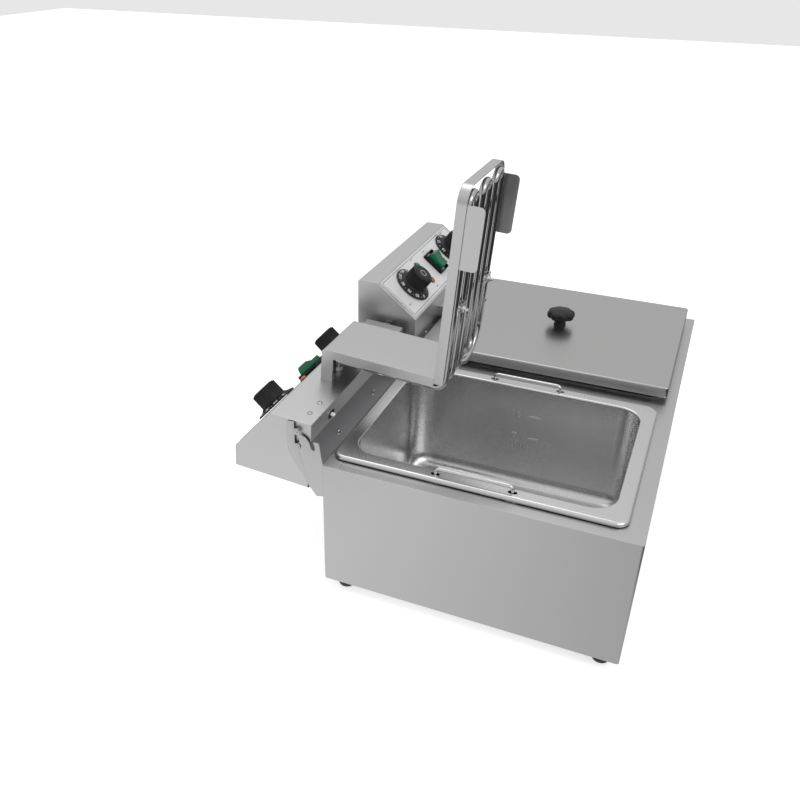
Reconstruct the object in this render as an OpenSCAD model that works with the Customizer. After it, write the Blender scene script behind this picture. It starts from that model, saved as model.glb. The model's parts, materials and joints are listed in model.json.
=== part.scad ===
// Double deep fryer for a worktop: one sheet-metal cabinet, two lift-out oil tanks,
// and behind each tank a control head that swings up with its heating element.
// The left head stands raised, the right head is lowered with a lid on its tank.
// Millimetres, +Z up, front towards -Y, origin on the worktop under the cabinet's centre.

/* [Cabinet] */
// Outside width of the cabinet, shared by the two units
cabinet_w = 628; // [616:1:680]
// Outside depth of the cabinet
cabinet_d = 375; // [368:1:420]
// Height of the cabinet without its feet
cabinet_h = 175; // [170:1:210]
// Thickness of the cabinet's sheet
sheet = 1; // [0.8:0.1:1.2]
// Bend radius of the cabinet's upright corners
corner_bend = 3; // [2:0.5:5]
// Depth of the back panel's flange on the top
back_strip = 21; // [12:1:21]

/* [Feet] */
// Diameter of a foot
foot_d = 24; // [18:1:30]
// Height of a foot
foot_h = 18; // [10:1:25]
// Distance of a foot's axis from the cabinet's sides
foot_inset = 22; // [16:1:40]

/* [Tanks] */
// Outside width of a tank's rim
rim_w = 277; // [274:1:280]
// Height of the rim above the cabinet's top
rim_h = 6.5; // [5:0.5:8]
// Radius of the rim's rolled edge
rim_roll = 6; // [4:0.5:6]
// Corner radius of the rim seen from above
rim_corner = 16; // [12:1:24]
// Width of the tank's mouth
mouth_w = 237; // [232:1:240]
// Width of the rim in front of the mouth and behind it
rim_end = 19; // [17:1:24]
// Depth of a tank from its rim to its floor
tank_depth = 158; // [150:1:164]
// Corner radius of the mouth seen from above
mouth_corner = 30; // [20:1:40]
// Radius between a tank's walls and its floor
floor_radius = 16; // [10:1:20]
// Thickness of a tank's sheet
tank_t = 1; // [0.8:0.1:1.2]
// Distance of the rims from the cabinet's back
rim_back = 3; // [2:0.5:4]
// Distance of the rims from the cabinet's front
rim_front = 20; // [16:1:26]

/* [Tank handles] */
// Wire diameter of a tank handle
bail_wire = 4.5; // [4:0.5:5]
// Distance between a handle's two legs
bail_w = 92; // [80:1:110]
// Height of the handle's bar above the rim while it is down
bail_drop = 8; // [7:0.5:9]
// How far a handle pulls up
bail_lift = 26; // [15:1:40]
// Distance of the legs from the mouth's edge
bail_off = 8; // [6:0.5:8.5]
// Length of the slot that a leg passes through
bail_slot = 11; // [9:0.5:14]

/* [Lid] */
// How far the lid reaches past the rim's sides
lid_side = 9.5; // [7:0.5:11]
// How far the lid reaches past the rim's front edge
lid_over = 6.5; // [4:0.5:9]
// Height of the lid's turned-down edge
lid_h = 15; // [14:0.5:20]
// Thickness of the lid's sheet
lid_t = 1; // [0.8:0.1:1.2]
// Width of the hems that rest on the rim
lid_hem = 20; // [18:1:24]
// Distance of the lid's back edge from the cabinet's back
lid_back = 4.5; // [4.5:0.5:6]
// Diameter of the lid's knob
lid_knob_d = 30; // [24:1:36]
// Height of the lid's knob
lid_knob_h = 30; // [24:1:36]

/* [Control heads] */
// Height of a head
head_h = 104; // [96:1:112]
// Depth of a head
head_d = 92; // [84:1:100]
// Depth of a head's flat top
head_top_d = 30; // [24:1:36]
// Height of a head's upright front, under its sloping panel
head_front_h = 56; // [50:1:62]
// Thickness of a head's sheet
head_t = 1; // [0.8:0.1:1.2]
// Free space at each side of a head, where its hinge plates stand
head_side = 7; // [6.5:0.5:9]
// Gap between a lowered head and the cabinet's back
head_gap = 1.5; // [1.5:0.1:3]
// Height of a lowered head's underside above the cabinet's top
head_rise = 1; // [0.5:0.5:3]
// Depth of the flange along the front of the underside
under_flange = 24; // [20:1:30]

/* [Hinges] */
// Distance of the pivot behind the cabinet's back
pivot_back = 34; // [32:1:38]
// Height of the pivot above the cabinet's top
pivot_up = 17; // [15:0.5:20]
// Diameter of the pivot pins
pivot_d = 6; // [5:0.5:7]
// Diameter of the guide pins
guide_d = 5; // [4:0.5:6]
// Distance between the pivot pin and the guide pin
guide_r = 21; // [19:0.5:22]
// Swing between a lowered and a raised head, in degrees
raised_tilt = 86; // [80:1:90]
// Thickness of the hinge plates
plate_t = 1.5; // [1.2:0.1:2]
// Gap between a head's side and its hinge plate
plate_gap = 2; // [1.5:0.1:2.5]
// Width of the hinge plates' flanges on the cabinet's back
bracket_flange = 34; // [28:1:40]

/* [Riser covers] */
// Width of a riser cover
riser_w = 94; // [92:1:100]
// Distance between the mouth's back edge and the front of a riser cover
riser_room = 22; // [20:0.5:26]
// Height of a riser cover's top above the cabinet's top
riser_top = 39; // [37:1:42]
// Height of the cover's arms
riser_arm = 16; // [15:1:18]
// Depth of the cover's side flanges
riser_flange = 12; // [10:1:14]
// Thickness of the riser's sheet
riser_t = 1; // [0.8:0.1:1.2]
// Outer bend radius at the top of a riser cover
riser_bend = 5; // [3:0.5:6]

/* [Heating elements] */
// Diameter of the heating tubes
tube_d = 8; // [7:0.5:8.5]
// Distance between the tube runs
tube_pitch = 26; // [24:0.5:27]
// Bend radius where the runs turn up into the legs
leg_bend = 12; // [11:0.5:12.5]
// Width of the guard round the runs
guard_w = 150; // [146:1:154]
// Distance between the mouth's front edge and the guard
guard_room = 58; // [45:1:80]
// Height of the guard's band
guard_h = 12; // [11:1:16]
// Thickness of the guard's sheet
guard_t = 1; // [0.8:0.1:1.2]
// Corner radius at the front of the guard
guard_corner = 20; // [14:1:24]
// Depth of the lower edge of the guard, under the cabinet's top
guard_low = 123; // [115:1:126]
// Length of a foot plate under the guard
skid_l = 70; // [50:1:80]
// Height of a foot plate under the guard
skid_h = 24; // [16:1:25]
// Distance of the foot plates from the guard's front
skid_back = 34; // [26:1:50]
// Diameter of the sensor bulbs
bulb_d = 6; // [5:0.5:6.5]
// Length of the sensor bulbs
bulb_l = 90; // [60:5:110]

/* [Controls] */
// Diameter of a knob's skirt
knob_skirt_d = 60; // [50:1:62]
// Diameter of a knob's grip
knob_cap_d = 36.5; // [30:0.5:40]
// Height of a knob
knob_h = 28; // [22:1:32]
// Distance of the thermostat's axis from the head's left side
thermostat_x = 67; // [60:1:75]
// Distance of the timer's axis from the head's right side
timer_side = 55; // [50:1:65]
// Distance of the knobs' axes from the panel's upper fold
knob_u = 38.5; // [36:0.5:42]
// Diameter of the signal lamps
lamp_d = 12; // [9:0.5:14]
// Distance of the lamps from the head's left side
lamp_x = 123; // [118:1:126]
// Distance of the upper lamp from the panel's upper fold
lamp_u = 22; // [18:1:24]
// Distance between the two lamps
lamp_pitch = 32; // [26:1:36]
// Width of the rocker switch
switch_w = 30; // [26:1:32]
// Length of the rocker switch along the slope
switch_l = 40; // [36:1:42]
// Distance of the switch's middle from the head's left side
switch_x = 172.5; // [165:0.5:178]
// Swing of the rocker, in degrees
rocker_throw = 20; // [16:1:24]

/* [Hidden] */

$fn = 64;
// Clearance between pieces of one body that lie side by side
fit = 0.2;
// Clearance between pieces that move past each other
run = 0.3;
// Radial clearance of a shaft or pin in its hole
bearing = 0.08;
// Overlength of a cutting shape
cut = 2;
LEFT = 0;
RIGHT = 1;

top_z = foot_h + cabinet_h;
back_y = cabinet_d / 2;
unit_pitch = cabinet_w / 2;
head_w = unit_pitch - 2 * head_side;
rim_l = cabinet_d - rim_back - rim_front;
mouth_l = rim_l - 2 * rim_end;
tank_y = -rim_back - rim_l / 2;
well_margin = 3;
riser_reach = rim_back + rim_end + riser_room;
guard_front = rim_back + rim_l - rim_end - guard_room;

// Places a child in a unit's own frame: X from the unit's middle, Y from the cabinet's back, Z from its top
module at_unit(side) {
    translate([(side - 0.5) * unit_pitch, back_y, top_z]) children();
}

// Places a child in a head's frame, which swings about the pivot pins
module at_head(side) {
    at_unit(side)
        translate([0, pivot_back, pivot_up])
            rotate([side == LEFT ? -raised_tilt : 0, 0, 0])
                translate([0, -pivot_back, -pivot_up]) children();
}

// Extrudes a profile drawn in Y and Z along X, from x0 for a width w
module along_x(x0, w) {
    translate([x0, 0, 0]) rotate([90, 0, 90]) linear_extrude(w) children();
}

// A rectangle with round corners, centred
module round_rect(w, l, r) {
    square([w - 2 * r, l], center = true);
    square([w, l - 2 * r], center = true);
    for (x = [-1, 1], y = [-1, 1])
        translate([x * (w / 2 - r), y * (l / 2 - r)]) circle(r);
}

// A slab with round corners and a rounded upper edge, standing on Z = 0
module soft_slab(w, l, h, corner, edge) {
    hull()
        for (x = [-1, 1], y = [-1, 1])
            translate([x * (w / 2 - corner), y * (l / 2 - corner), 0])
                rotate_extrude($fn = 32) {
                    square([corner - edge, h]);
                    square([corner, h - edge]);
                    intersection() {
                        translate([corner - edge, h - edge]) circle(edge, $fn = 32);
                        translate([0, h - edge]) square([corner, edge]);
                    }
                }
}

// A low domed screw head on Z = 0
module dome_head(d, h) {
    rotate_extrude($fn = 32) intersection() {
        translate([0, h - d * d / (8 * h) - h / 2]) circle(d * d / (8 * h) + h / 2, $fn = 96);
        square([d / 2, h]);
    }
}

// CABINET

inner_w = cabinet_w - 2 * sheet;
inner_d = cabinet_d - 2 * sheet;

// The openings in the top that the tanks hang in
module wells() {
    for (side = [LEFT, RIGHT])
        translate([(side - 0.5) * unit_pitch, back_y + tank_y, 0])
            round_rect(well_w, well_l, mouth_corner);
}
well_w = mouth_w + 2 * (bail_off + bail_wire / 2 + well_margin + tank_t);
well_l = mouth_l + 2 * (tank_t + well_margin);

module casing_shell() {
    color("lightgrey") difference() {
        translate([0, 0, foot_h]) linear_extrude(cabinet_h) round_rect(cabinet_w, cabinet_d, corner_bend);
        translate([0, 0, foot_h - cut]) linear_extrude(cabinet_h - sheet + cut) {
            round_rect(inner_w, inner_d, corner_bend - sheet);
            translate([0, back_y, 0]) square([inner_w, 2 * corner_bend], center = true);
        }
        translate([-inner_w / 2, back_y - back_strip, foot_h + sheet])
            cube([inner_w, back_strip + cut, cabinet_h + cut]);
        translate([0, 0, top_z - 2 * sheet]) linear_extrude(4 * sheet) wells();
    }
}

module back_panel() {
    strip_w = inner_w - 2 * fit;
    color("silver") difference() {
        union() {
            translate([-strip_w / 2, back_y - sheet, foot_h + sheet + fit])
                cube([strip_w, sheet, cabinet_h - sheet - fit]);
            translate([-strip_w / 2, back_y - back_strip + fit, top_z - sheet])
                cube([strip_w, back_strip - fit, sheet]);
        }
        translate([0, 0, top_z - 2 * sheet]) linear_extrude(4 * sheet) wells();
        for (side = [LEFT, RIGHT], x = bracket_screw_x, z = bracket_screw_z)
            at_unit(side) translate([x, 0, z]) rotate([90, 0, 0])
                cylinder(d = screw_d + 2 * fit, h = 4 * sheet, center = true);
    }
}

module base_panel() {
    color("darkgrey") difference() {
        translate([0, 0, foot_h]) linear_extrude(sheet)
            round_rect(inner_w - 2 * fit, inner_d - 2 * fit, corner_bend - sheet);
        for (x = [-1, 1], y = [-1, 1]) translate([x * foot_x, y * foot_y, 0])
            cylinder(d = foot_stud + 2 * fit, h = 2 * foot_h);
    }
}

foot_x = cabinet_w / 2 - foot_inset;
foot_y = cabinet_d / 2 - foot_inset;
foot_stud = 8;
stud_h = 6;

module rubber_feet() {
    color("dimgray") for (x = [-1, 1], y = [-1, 1]) translate([x * foot_x, y * foot_y, 0]) {
        cylinder(d1 = foot_d - 4, d2 = foot_d, h = foot_h / 4);
        translate([0, 0, foot_h / 4]) cylinder(d = foot_d, h = foot_h * 3 / 4);
        cylinder(d = foot_stud, h = foot_h + stud_h);
    }
}

// HINGE BRACKETS

ear_x = head_w / 2 + plate_gap;
ear_top = pivot_up + guide_r + guide_d + 7;
ear_back = pivot_back + pivot_d / 2 + 10.5;
ear_low = -48;
ear_foot = 10;
ear_belly = [20, -37];
ear_shoulder = 8;
arm_front = 5;
arm_w = 8;
arm_top = pivot_up + 11;
arm_low = pivot_up - 20;
lobe_r = guide_r - guide_d / 2 - run;
channel_r = guide_r + guide_d / 2 + run;
rest_angle = 90 + raised_tilt;
screw_d = 4;
screw_head_d = 8;
screw_head_h = 2.4;
bracket_screw_x = [-ear_x + 18, ear_x - 18];
bracket_screw_z = [-14, -38];
flange_t = plate_t - run;

// One hinge plate from its side: a slot for both pins when raised, a notch for the guide pin when lowered
module ear_outline() {
    rest_y = pivot_back + guide_r * cos(rest_angle);
    rest_z = pivot_up + guide_r * sin(rest_angle);
    difference() {
        union() {
            polygon([[run, ear_low], [ear_foot, ear_low - 2], ear_belly, [ear_back, ear_shoulder],
                [ear_back, ear_top - 1], [ear_back - ear_shoulder, ear_top], [pivot_back, ear_top],
                [arm_front, arm_top], [run, arm_low]]);
            translate([arm_front, arm_low]) square([arm_w, arm_top - arm_low]);
        }
        translate([pivot_back, pivot_up]) circle(pivot_d / 2 + bearing);
        translate([pivot_back - pivot_d / 2 - bearing, pivot_up]) square([pivot_d + 2 * bearing, ear_top]);
        translate([pivot_back, pivot_up]) intersection() {
            difference() {
                circle(channel_r);
                circle(lobe_r);
            }
            polygon([[0, 0], [0, 2 * ear_top], [-2 * ear_top, 2 * ear_top],
                [-2 * ear_top, -2 * ear_top * cos(rest_angle + 90)]]);
            translate([-channel_r, rest_z - pivot_up]) square([channel_r, 2 * channel_r]);
        }
        difference() {
            translate([-cut, arm_top]) square([pivot_back + cut, ear_top]);
            translate([pivot_back, pivot_up]) circle(lobe_r);
        }
        translate([rest_y, rest_z]) circle(guide_d / 2 + run);
    }
}

module hinge_brackets() {
    color("silver") for (side = [LEFT, RIGHT], hand = [-1, 1]) at_unit(side) {
        along_x(hand > 0 ? ear_x : -ear_x - plate_t, plate_t) ear_outline();
        difference() {
            translate([hand > 0 ? ear_x + plate_t - bracket_flange : -ear_x - plate_t, 0, ear_low])
                cube([bracket_flange, flange_t, -ear_low - fit]);
            for (x = bracket_screw_x, z = bracket_screw_z)
                translate([x, 0, z]) rotate([90, 0, 0])
                    cylinder(d = screw_d + 2 * fit, h = 4 * plate_t, center = true);
        }
    }
}

module case_screws() {
    color("gainsboro") for (side = [LEFT, RIGHT], x = bracket_screw_x, z = bracket_screw_z)
        at_unit(side) translate([x, flange_t, z]) rotate([-90, 0, 0]) {
            dome_head(screw_head_d, screw_head_h);
            translate([0, 0, -8]) cylinder(d = screw_d, h = 8.5);
        }
}

// TANKS

bail_x = mouth_w / 2 + tank_t + bail_off;

module tank(side) {
    wall_h = tank_depth + tank_t - rim_h;
    at_unit(side) translate([0, tank_y, 0]) difference() {
        union() {
            soft_slab(rim_w, rim_l, rim_h, rim_corner, rim_roll);
            translate([0, 0, rim_h / 2]) mirror([0, 0, 1])
                soft_slab(mouth_w + 2 * tank_t, mouth_l + 2 * tank_t, wall_h + rim_h / 2,
                    mouth_corner + tank_t, floor_radius + tank_t);
        }
        difference() {
            translate([0, 0, -tank_t])
                soft_slab(rim_w - 2 * tank_t, rim_l - 2 * tank_t, rim_h,
                    rim_corner - tank_t, rim_roll - tank_t);
            translate([0, 0, -rim_h]) linear_extrude(3 * rim_h)
                round_rect(mouth_w + 2 * tank_t, mouth_l + 2 * tank_t, mouth_corner + tank_t);
        }
        translate([0, 0, rim_h]) mirror([0, 0, 1])
            soft_slab(mouth_w, mouth_l, tank_depth, mouth_corner, floor_radius);
        translate([0, 0, rim_h - cut / 2]) linear_extrude(cut) round_rect(mouth_w, mouth_l, mouth_corner);
        for (x = [-1, 1], y = [-1, 1]) translate([x * bail_x, y * bail_w / 2, -cut])
            linear_extrude(rim_h + 2 * cut) round_rect(bail_wire + 2 * run, bail_slot, bail_wire / 2);
    }
}

module left_tank() {
    color("lightsteelblue") tank(LEFT);
}

module right_tank() {
    color("lightsteelblue") tank(RIGHT);
}

// A tank handle: a wire bow whose legs slide in the rim's slots and end in outward hooks
module bail(side, hand) {
    leg_low = -bail_lift + rim_h - tank_t - bail_wire / 2 - run;
    bar_z = rim_h + bail_drop;
    bend = 1.2 * bail_wire;
    hook = 2 * bail_wire;
    at_unit(side) translate([hand * bail_x, tank_y, 0]) for (y = [-1, 1]) mirror([0, y < 0 ? 1 : 0, 0]) {
        translate([0, bail_w / 2, leg_low]) cylinder(d = bail_wire, h = bar_z - bend - leg_low, $fn = 32);
        translate([0, bail_w / 2 - bend, bar_z - bend]) rotate([90, 0, 90])
            rotate_extrude(angle = 90, $fn = 48) translate([bend, 0]) circle(d = bail_wire, $fn = 32);
        translate([0, 0, bar_z]) rotate([-90, 0, 0])
            cylinder(d = bail_wire, h = bail_w / 2 - bend, $fn = 32);
        translate([0, bail_w / 2, leg_low]) rotate([-90, 0, 0]) cylinder(d = bail_wire, h = hook, $fn = 32);
        translate([0, bail_w / 2, leg_low]) sphere(d = bail_wire, $fn = 32);
    }
}

module left_tank_near_bail() {
    color("gainsboro") bail(LEFT, -1);
}

module left_tank_far_bail() {
    color("gainsboro") bail(LEFT, 1);
}

module right_tank_near_bail() {
    color("gainsboro") bail(RIGHT, -1);
}

module right_tank_far_bail() {
    color("gainsboro") bail(RIGHT, 1);
}

// LID

lid_w = rim_w + 2 * lid_side;
lid_l = rim_back + rim_l + lid_over - lid_back;
lid_z = rim_h + run;
lid_y = -lid_back - lid_l / 2;
lid_corner = 5;
notch_side = 5;
notch_front = 11;
notch_w = riser_w + 2 * notch_side;
notch_d = riser_reach + notch_front;
lid_screw_d = 5;
knob_stem_d = 0.6 * lid_knob_d;

module right_lid() {
    color("silver") at_unit(RIGHT) difference() {
        translate([0, lid_y, lid_z]) linear_extrude(lid_h) round_rect(lid_w, lid_l, lid_corner);
        translate([0, lid_y, lid_z + lid_t]) linear_extrude(lid_h - 2 * lid_t)
            round_rect(lid_w - 2 * lid_t, lid_l - 2 * lid_t, lid_corner - lid_t);
        translate([0, lid_y, lid_z - cut]) linear_extrude(2 * cut)
            square([lid_w - 2 * lid_t, lid_l - 2 * lid_hem], center = true);
        translate([-notch_w / 2, -notch_d, lid_z - cut]) cube([notch_w, notch_d, lid_h + 2 * cut]);
        translate([0, lid_y, lid_z]) cylinder(d = lid_screw_d + 2 * fit, h = 2 * lid_h);
    }
}

module lid_knob() {
    stem_h = 0.4 * lid_knob_h;
    color("dimgray") at_unit(RIGHT) translate([0, lid_y, lid_z + lid_h]) difference() {
        union() {
            cylinder(d = knob_stem_d, h = stem_h + 1);
            translate([0, 0, stem_h]) cylinder(d1 = knob_stem_d, d2 = lid_knob_d, h = 0.2 * lid_knob_h);
            translate([0, 0, 0.6 * lid_knob_h]) cylinder(d = lid_knob_d, h = 0.22 * lid_knob_h);
            translate([0, 0, 0.82 * lid_knob_h])
                cylinder(d1 = lid_knob_d, d2 = 0.72 * lid_knob_d, h = 0.18 * lid_knob_h);
        }
        translate([0, 0, -cut]) cylinder(d = lid_screw_d + 2 * fit, h = stem_h + cut);
        for (a = [0:45:315]) rotate(a) translate([0.62 * lid_knob_d, 0, 0.5 * lid_knob_h])
            cylinder(d = 0.32 * lid_knob_d, h = lid_knob_h);
    }
}

module lid_screw() {
    color("gainsboro") at_unit(RIGHT) translate([0, lid_y, lid_z + lid_h - lid_t]) mirror([0, 0, 1]) {
        dome_head(2 * lid_screw_d, screw_head_h);
        translate([0, 0, -lid_t - 0.35 * lid_knob_h])
            cylinder(d = lid_screw_d, h = lid_t + 0.35 * lid_knob_h + screw_head_h / 2);
    }
}

// CONTROL HEADS

head_low = head_rise;
head_top = head_rise + head_h;
head_front = head_gap;
head_back = head_gap + head_d;
fold_low = head_low + head_front_h;
fold_y = head_back - head_top_d;
slope = atan2(head_top - fold_low, fold_y - head_front);
slope_l = norm([head_top - fold_low, fold_y - head_front]);

// Places a child on the sloping panel: x from the head's left side, u down from the upper fold, Z outwards
module at_panel(x, u) {
    translate([x - head_w / 2, fold_y, head_top]) rotate([slope, 0, 0]) translate([0, -u, 0]) children();
}

// A head's outline seen from its side, drawn in by t from its folded sheet
module head_outline(t, low) {
    drop = t / cos(slope);
    polygon([[head_front + t, low], [head_front + t, fold_low + t * tan(slope) - drop],
        [head_front + (head_top - t - fold_low + drop) / tan(slope), head_top - t],
        [head_back - t, head_top - t], [head_back - t, low]]);
}

tube_z = riser_top - riser_arm / 2;
gland_x = 0.3 * head_w;
gland_z = head_low + 26;
gland_hole = 16;
timer_x = head_w - timer_side;
front_screw_d = 7;
front_screw_h = 1.2;
panel_screws = [[-0.42 * head_w, 2 * front_screw_d], [-0.33 * head_w, 2 * front_screw_d]];
cover_screw_x = [-0.22 * head_w, 0.16 * head_w];
cover_screw_y = head_front + 0.62 * head_d;
plunger_x = -0.31 * head_w;
plunger_d = 5;
plunger_slot_w = 14;
plunger_slot_d = 8;
plunger_y = head_front + 0.625 * under_flange;
neck_d = 10;

module head_housing(side) {
    at_head(side) difference() {
        along_x(-head_w / 2, head_w) head_outline(0, head_low);
        along_x(-head_w / 2 + head_t, head_w - 2 * head_t) head_outline(head_t, head_low + head_t);
        translate([-head_w / 2 + head_t, head_front + under_flange, head_low - cut])
            cube([head_w - 2 * head_t, head_d - under_flange - head_t, 2 * cut]);
        for (x = [-1, 1], p = [[pivot_back, pivot_up, pivot_d], [pivot_back, pivot_up + guide_r, guide_d]])
            translate([x * head_w / 2, 0, 0]) pin_hole(p);
        for (x = leg_x) translate([x, head_front, tube_z]) rotate([90, 0, 0])
            cylinder(d = tube_d + 2 * fit, h = 4, center = true);
        for (x = capillary_x) translate([x, head_front, tube_z]) rotate([90, 0, 0])
            cylinder(d = capillary_d + 2 * fit, h = 4, center = true);
        translate([gland_x, head_back, gland_z]) rotate([90, 0, 0])
            cylinder(d = gland_hole + 2 * fit, h = 4, center = true);
        translate([plunger_x, plunger_y, head_low - cut]) linear_extrude(2 * cut)
            round_rect(plunger_slot_w, plunger_slot_d, plunger_slot_d / 2 - 0.5);
        for (x = [thermostat_x, timer_x]) at_panel(x, knob_u)
            cylinder(d = neck_d + 2 * fit, h = 4, center = true);
        for (k = [0, 1]) at_panel(lamp_x, lamp_u + k * lamp_pitch)
            cylinder(d = lamp_neck + 2 * fit, h = 4, center = true);
        at_panel(switch_x, knob_u) cube([switch_w - 3, switch_l - 3, 6], center = true);
    }
}

// A hole through a head's side for one hinge pin, p = [y, z, diameter] of a lowered head
module pin_hole(p) {
    guide = p[2] == guide_d;
    y = guide ? pivot_back - guide_r * sin(raised_tilt) : p[0];
    z = guide ? pivot_up + guide_r * cos(raised_tilt) : p[1];
    translate([0, y, z]) rotate([0, 90, 0]) cylinder(d = p[2] + 2 * bearing, h = 4, center = true);
}

module left_head_housing() {
    color("lightgrey") head_housing(LEFT);
}

module right_head_housing() {
    color("lightgrey") head_housing(RIGHT);
}

module bottom_cover(side) {
    w = head_w - 2 * head_t - 2 * fit;
    d = head_d - under_flange - head_t - 2 * fit;
    at_head(side) difference() {
        translate([-w / 2, head_front + under_flange + fit, head_low]) cube([w, d, head_t]);
        for (x = cover_screw_x) translate([x, cover_screw_y, head_low - cut])
            cylinder(d = screw_d + 2 * fit, h = 2 * cut);
    }
}

module left_bottom_cover() {
    color("gray") bottom_cover(LEFT);
}

module right_bottom_cover() {
    color("gray") bottom_cover(RIGHT);
}

plate_h = 0.4;
plate_margin = 7;
plate_corner = 3;

module panel_plate(side) {
    at_head(side) difference() {
        at_panel(head_w / 2, slope_l / 2) linear_extrude(plate_h)
            round_rect(head_w - 2 * plate_margin, slope_l - plate_margin, plate_corner);
        for (x = [thermostat_x, timer_x]) at_panel(x, knob_u)
            cylinder(d = neck_d + 2 * fit, h = 4, center = true);
        for (k = [0, 1]) at_panel(lamp_x, lamp_u + k * lamp_pitch)
            cylinder(d = lamp_neck + 2 * fit, h = 4, center = true);
        at_panel(switch_x, knob_u) cube([switch_w - 3, switch_l - 3, 6], center = true);
    }
}

module left_panel_plate() {
    color("white") panel_plate(LEFT);
}

module right_panel_plate() {
    color("white") panel_plate(RIGHT);
}

module head_screws(side) {
    at_head(side) {
        for (p = panel_screws) translate([p[0], head_front, head_low + p[1]]) rotate([90, 0, 0]) {
            dome_head(front_screw_d, front_screw_h);
        }
        for (x = cover_screw_x) translate([x, cover_screw_y, head_low]) mirror([0, 0, 1]) {
            dome_head(screw_head_d, screw_head_h);
            translate([0, 0, -6]) cylinder(d = screw_d, h = 6.5);
        }
    }
}

module left_head_screws() {
    color("gainsboro") head_screws(LEFT);
}

module right_head_screws() {
    color("gainsboro") head_screws(RIGHT);
}

pin_out = plate_gap + plate_t + 2.5;
pin_in = 5;

module hinge_pins(side) {
    guide_y = pivot_back - guide_r * sin(raised_tilt);
    guide_z = pivot_up + guide_r * cos(raised_tilt);
    at_head(side) for (hand = [-1, 1], p = [[pivot_back, pivot_up, pivot_d], [guide_y, guide_z, guide_d]])
        translate([hand * head_w / 2, p[0], p[1]]) rotate([0, hand * 90, 0]) {
            translate([0, 0, -pin_in]) cylinder(d = p[2], h = pin_in + pin_out);
            translate([0, 0, plate_gap + plate_t + run]) cylinder(d = p[2] + 4, h = 1.2);
            translate([0, 0, -pin_in]) cylinder(d = p[2] + 3, h = pin_in - head_t);
        }
}

module left_hinge_pins() {
    color("gainsboro") hinge_pins(LEFT);
}

module right_hinge_pins() {
    color("gainsboro") hinge_pins(RIGHT);
}

// CONTROLS

spindle_d = 6;
skirt_h = 5;
knob_lift = 1.2;
body_size = 34;
body_depth = 26;

module knob(side, x) {
    ribs = 24;
    at_head(side) at_panel(x, knob_u) translate([0, 0, plate_h + knob_lift]) {
        cylinder(d1 = knob_skirt_d, d2 = knob_skirt_d - 3, h = 1.5, $fn = 96);
        cylinder(d1 = knob_skirt_d - 3, d2 = knob_cap_d + 4, h = skirt_h, $fn = 96);
        cylinder(d1 = knob_cap_d, d2 = knob_cap_d - 3, h = knob_h - knob_lift, $fn = 96);
        for (a = [0:360 / ribs:359]) rotate(a) translate([knob_cap_d / 2 - 0.8, 0, 0])
            cylinder(d = 2.4, h = knob_h - knob_lift - 2, $fn = 16);
        translate([0, 0, -plate_h - knob_lift - body_depth / 2])
            cylinder(d = spindle_d, h = body_depth / 2 + knob_lift + 2);
    }
}

module control_body(side, x) {
    at_head(side) at_panel(x, knob_u) difference() {
        union() {
            translate([-body_size / 2, -body_size / 2, -head_t - fit - body_depth])
                cube([body_size, body_size, body_depth]);
            translate([0, 0, -head_t - fit - 1]) cylinder(d = neck_d, h = head_t + fit + 1 + plate_h);
        }
        translate([0, 0, -head_t - body_depth + 4])
            cylinder(d = spindle_d + 2 * bearing, h = 2 * body_depth);
    }
}

module left_thermostat_knob() {
    color("dimgray") knob(LEFT, thermostat_x);
}

module right_thermostat_knob() {
    color("dimgray") knob(RIGHT, thermostat_x);
}

module left_thermostat_body() {
    color("tan") control_body(LEFT, thermostat_x);
}

module right_thermostat_body() {
    color("tan") control_body(RIGHT, thermostat_x);
}

module left_timer_knob() {
    color("dimgray") knob(LEFT, timer_x);
}

module right_timer_knob() {
    color("dimgray") knob(RIGHT, timer_x);
}

module left_timer_body() {
    color("tan") control_body(LEFT, timer_x);
}

module right_timer_body() {
    color("tan") control_body(RIGHT, timer_x);
}

switch_rim = 3;
switch_deep = 20;
rocker_r = switch_l / 2 - switch_rim - run;
rocker_pin = 3;
rocker_pin_z = 1.5;

module switch_frame(side) {
    at_head(side) at_panel(switch_x, knob_u) difference() {
        union() {
            translate([0, 0, plate_h]) linear_extrude(switch_rim) round_rect(switch_w, switch_l, 2);
            translate([0, 0, -switch_deep / 2])
                cube([switch_w - 3 - 2 * fit, switch_l - 3 - 2 * fit, switch_deep + 2 * plate_h],
                    center = true);
        }
        translate([0, 0, 1.5])
            cube([switch_w - 2 * switch_rim, switch_l - 2 * switch_rim, switch_deep + 8], center = true);
        translate([0, 0, rocker_pin_z]) rotate([0, 90, 0])
            cylinder(d = rocker_pin + 2 * bearing, h = switch_w - 2 * switch_rim + 2, center = true);
    }
}

module left_switch_frame() {
    color("dimgray") switch_frame(LEFT);
}

module right_switch_frame() {
    color("dimgray") switch_frame(RIGHT);
}

// The rocker is stored off: its lower wing lies flush and its upper wing stands up
module switch_rocker(side) {
    wing = 11;
    dish = 7.5;
    w = switch_w - 2 * switch_rim - 2 * run;
    at_head(side) at_panel(switch_x, knob_u) translate([0, 0, rocker_pin_z])
        rotate([rocker_throw / 2, 0, 0]) {
        intersection() {
            along_x(-w / 2, w)
                polygon([[-rocker_r, -5], [-rocker_r, wing], [0, dish], [rocker_r, wing], [rocker_r, -5]]);
            rotate([0, 90, 0]) cylinder(r = rocker_r, h = 2 * w, center = true);
        }
        rotate([0, 90, 0]) cylinder(d = rocker_pin, h = w + 2 * run + 1, center = true);
    }
}

module left_switch_rocker() {
    color("green") switch_rocker(LEFT);
}

module right_switch_rocker() {
    color("green") switch_rocker(RIGHT);
}

lamp_neck = 9;

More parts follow.
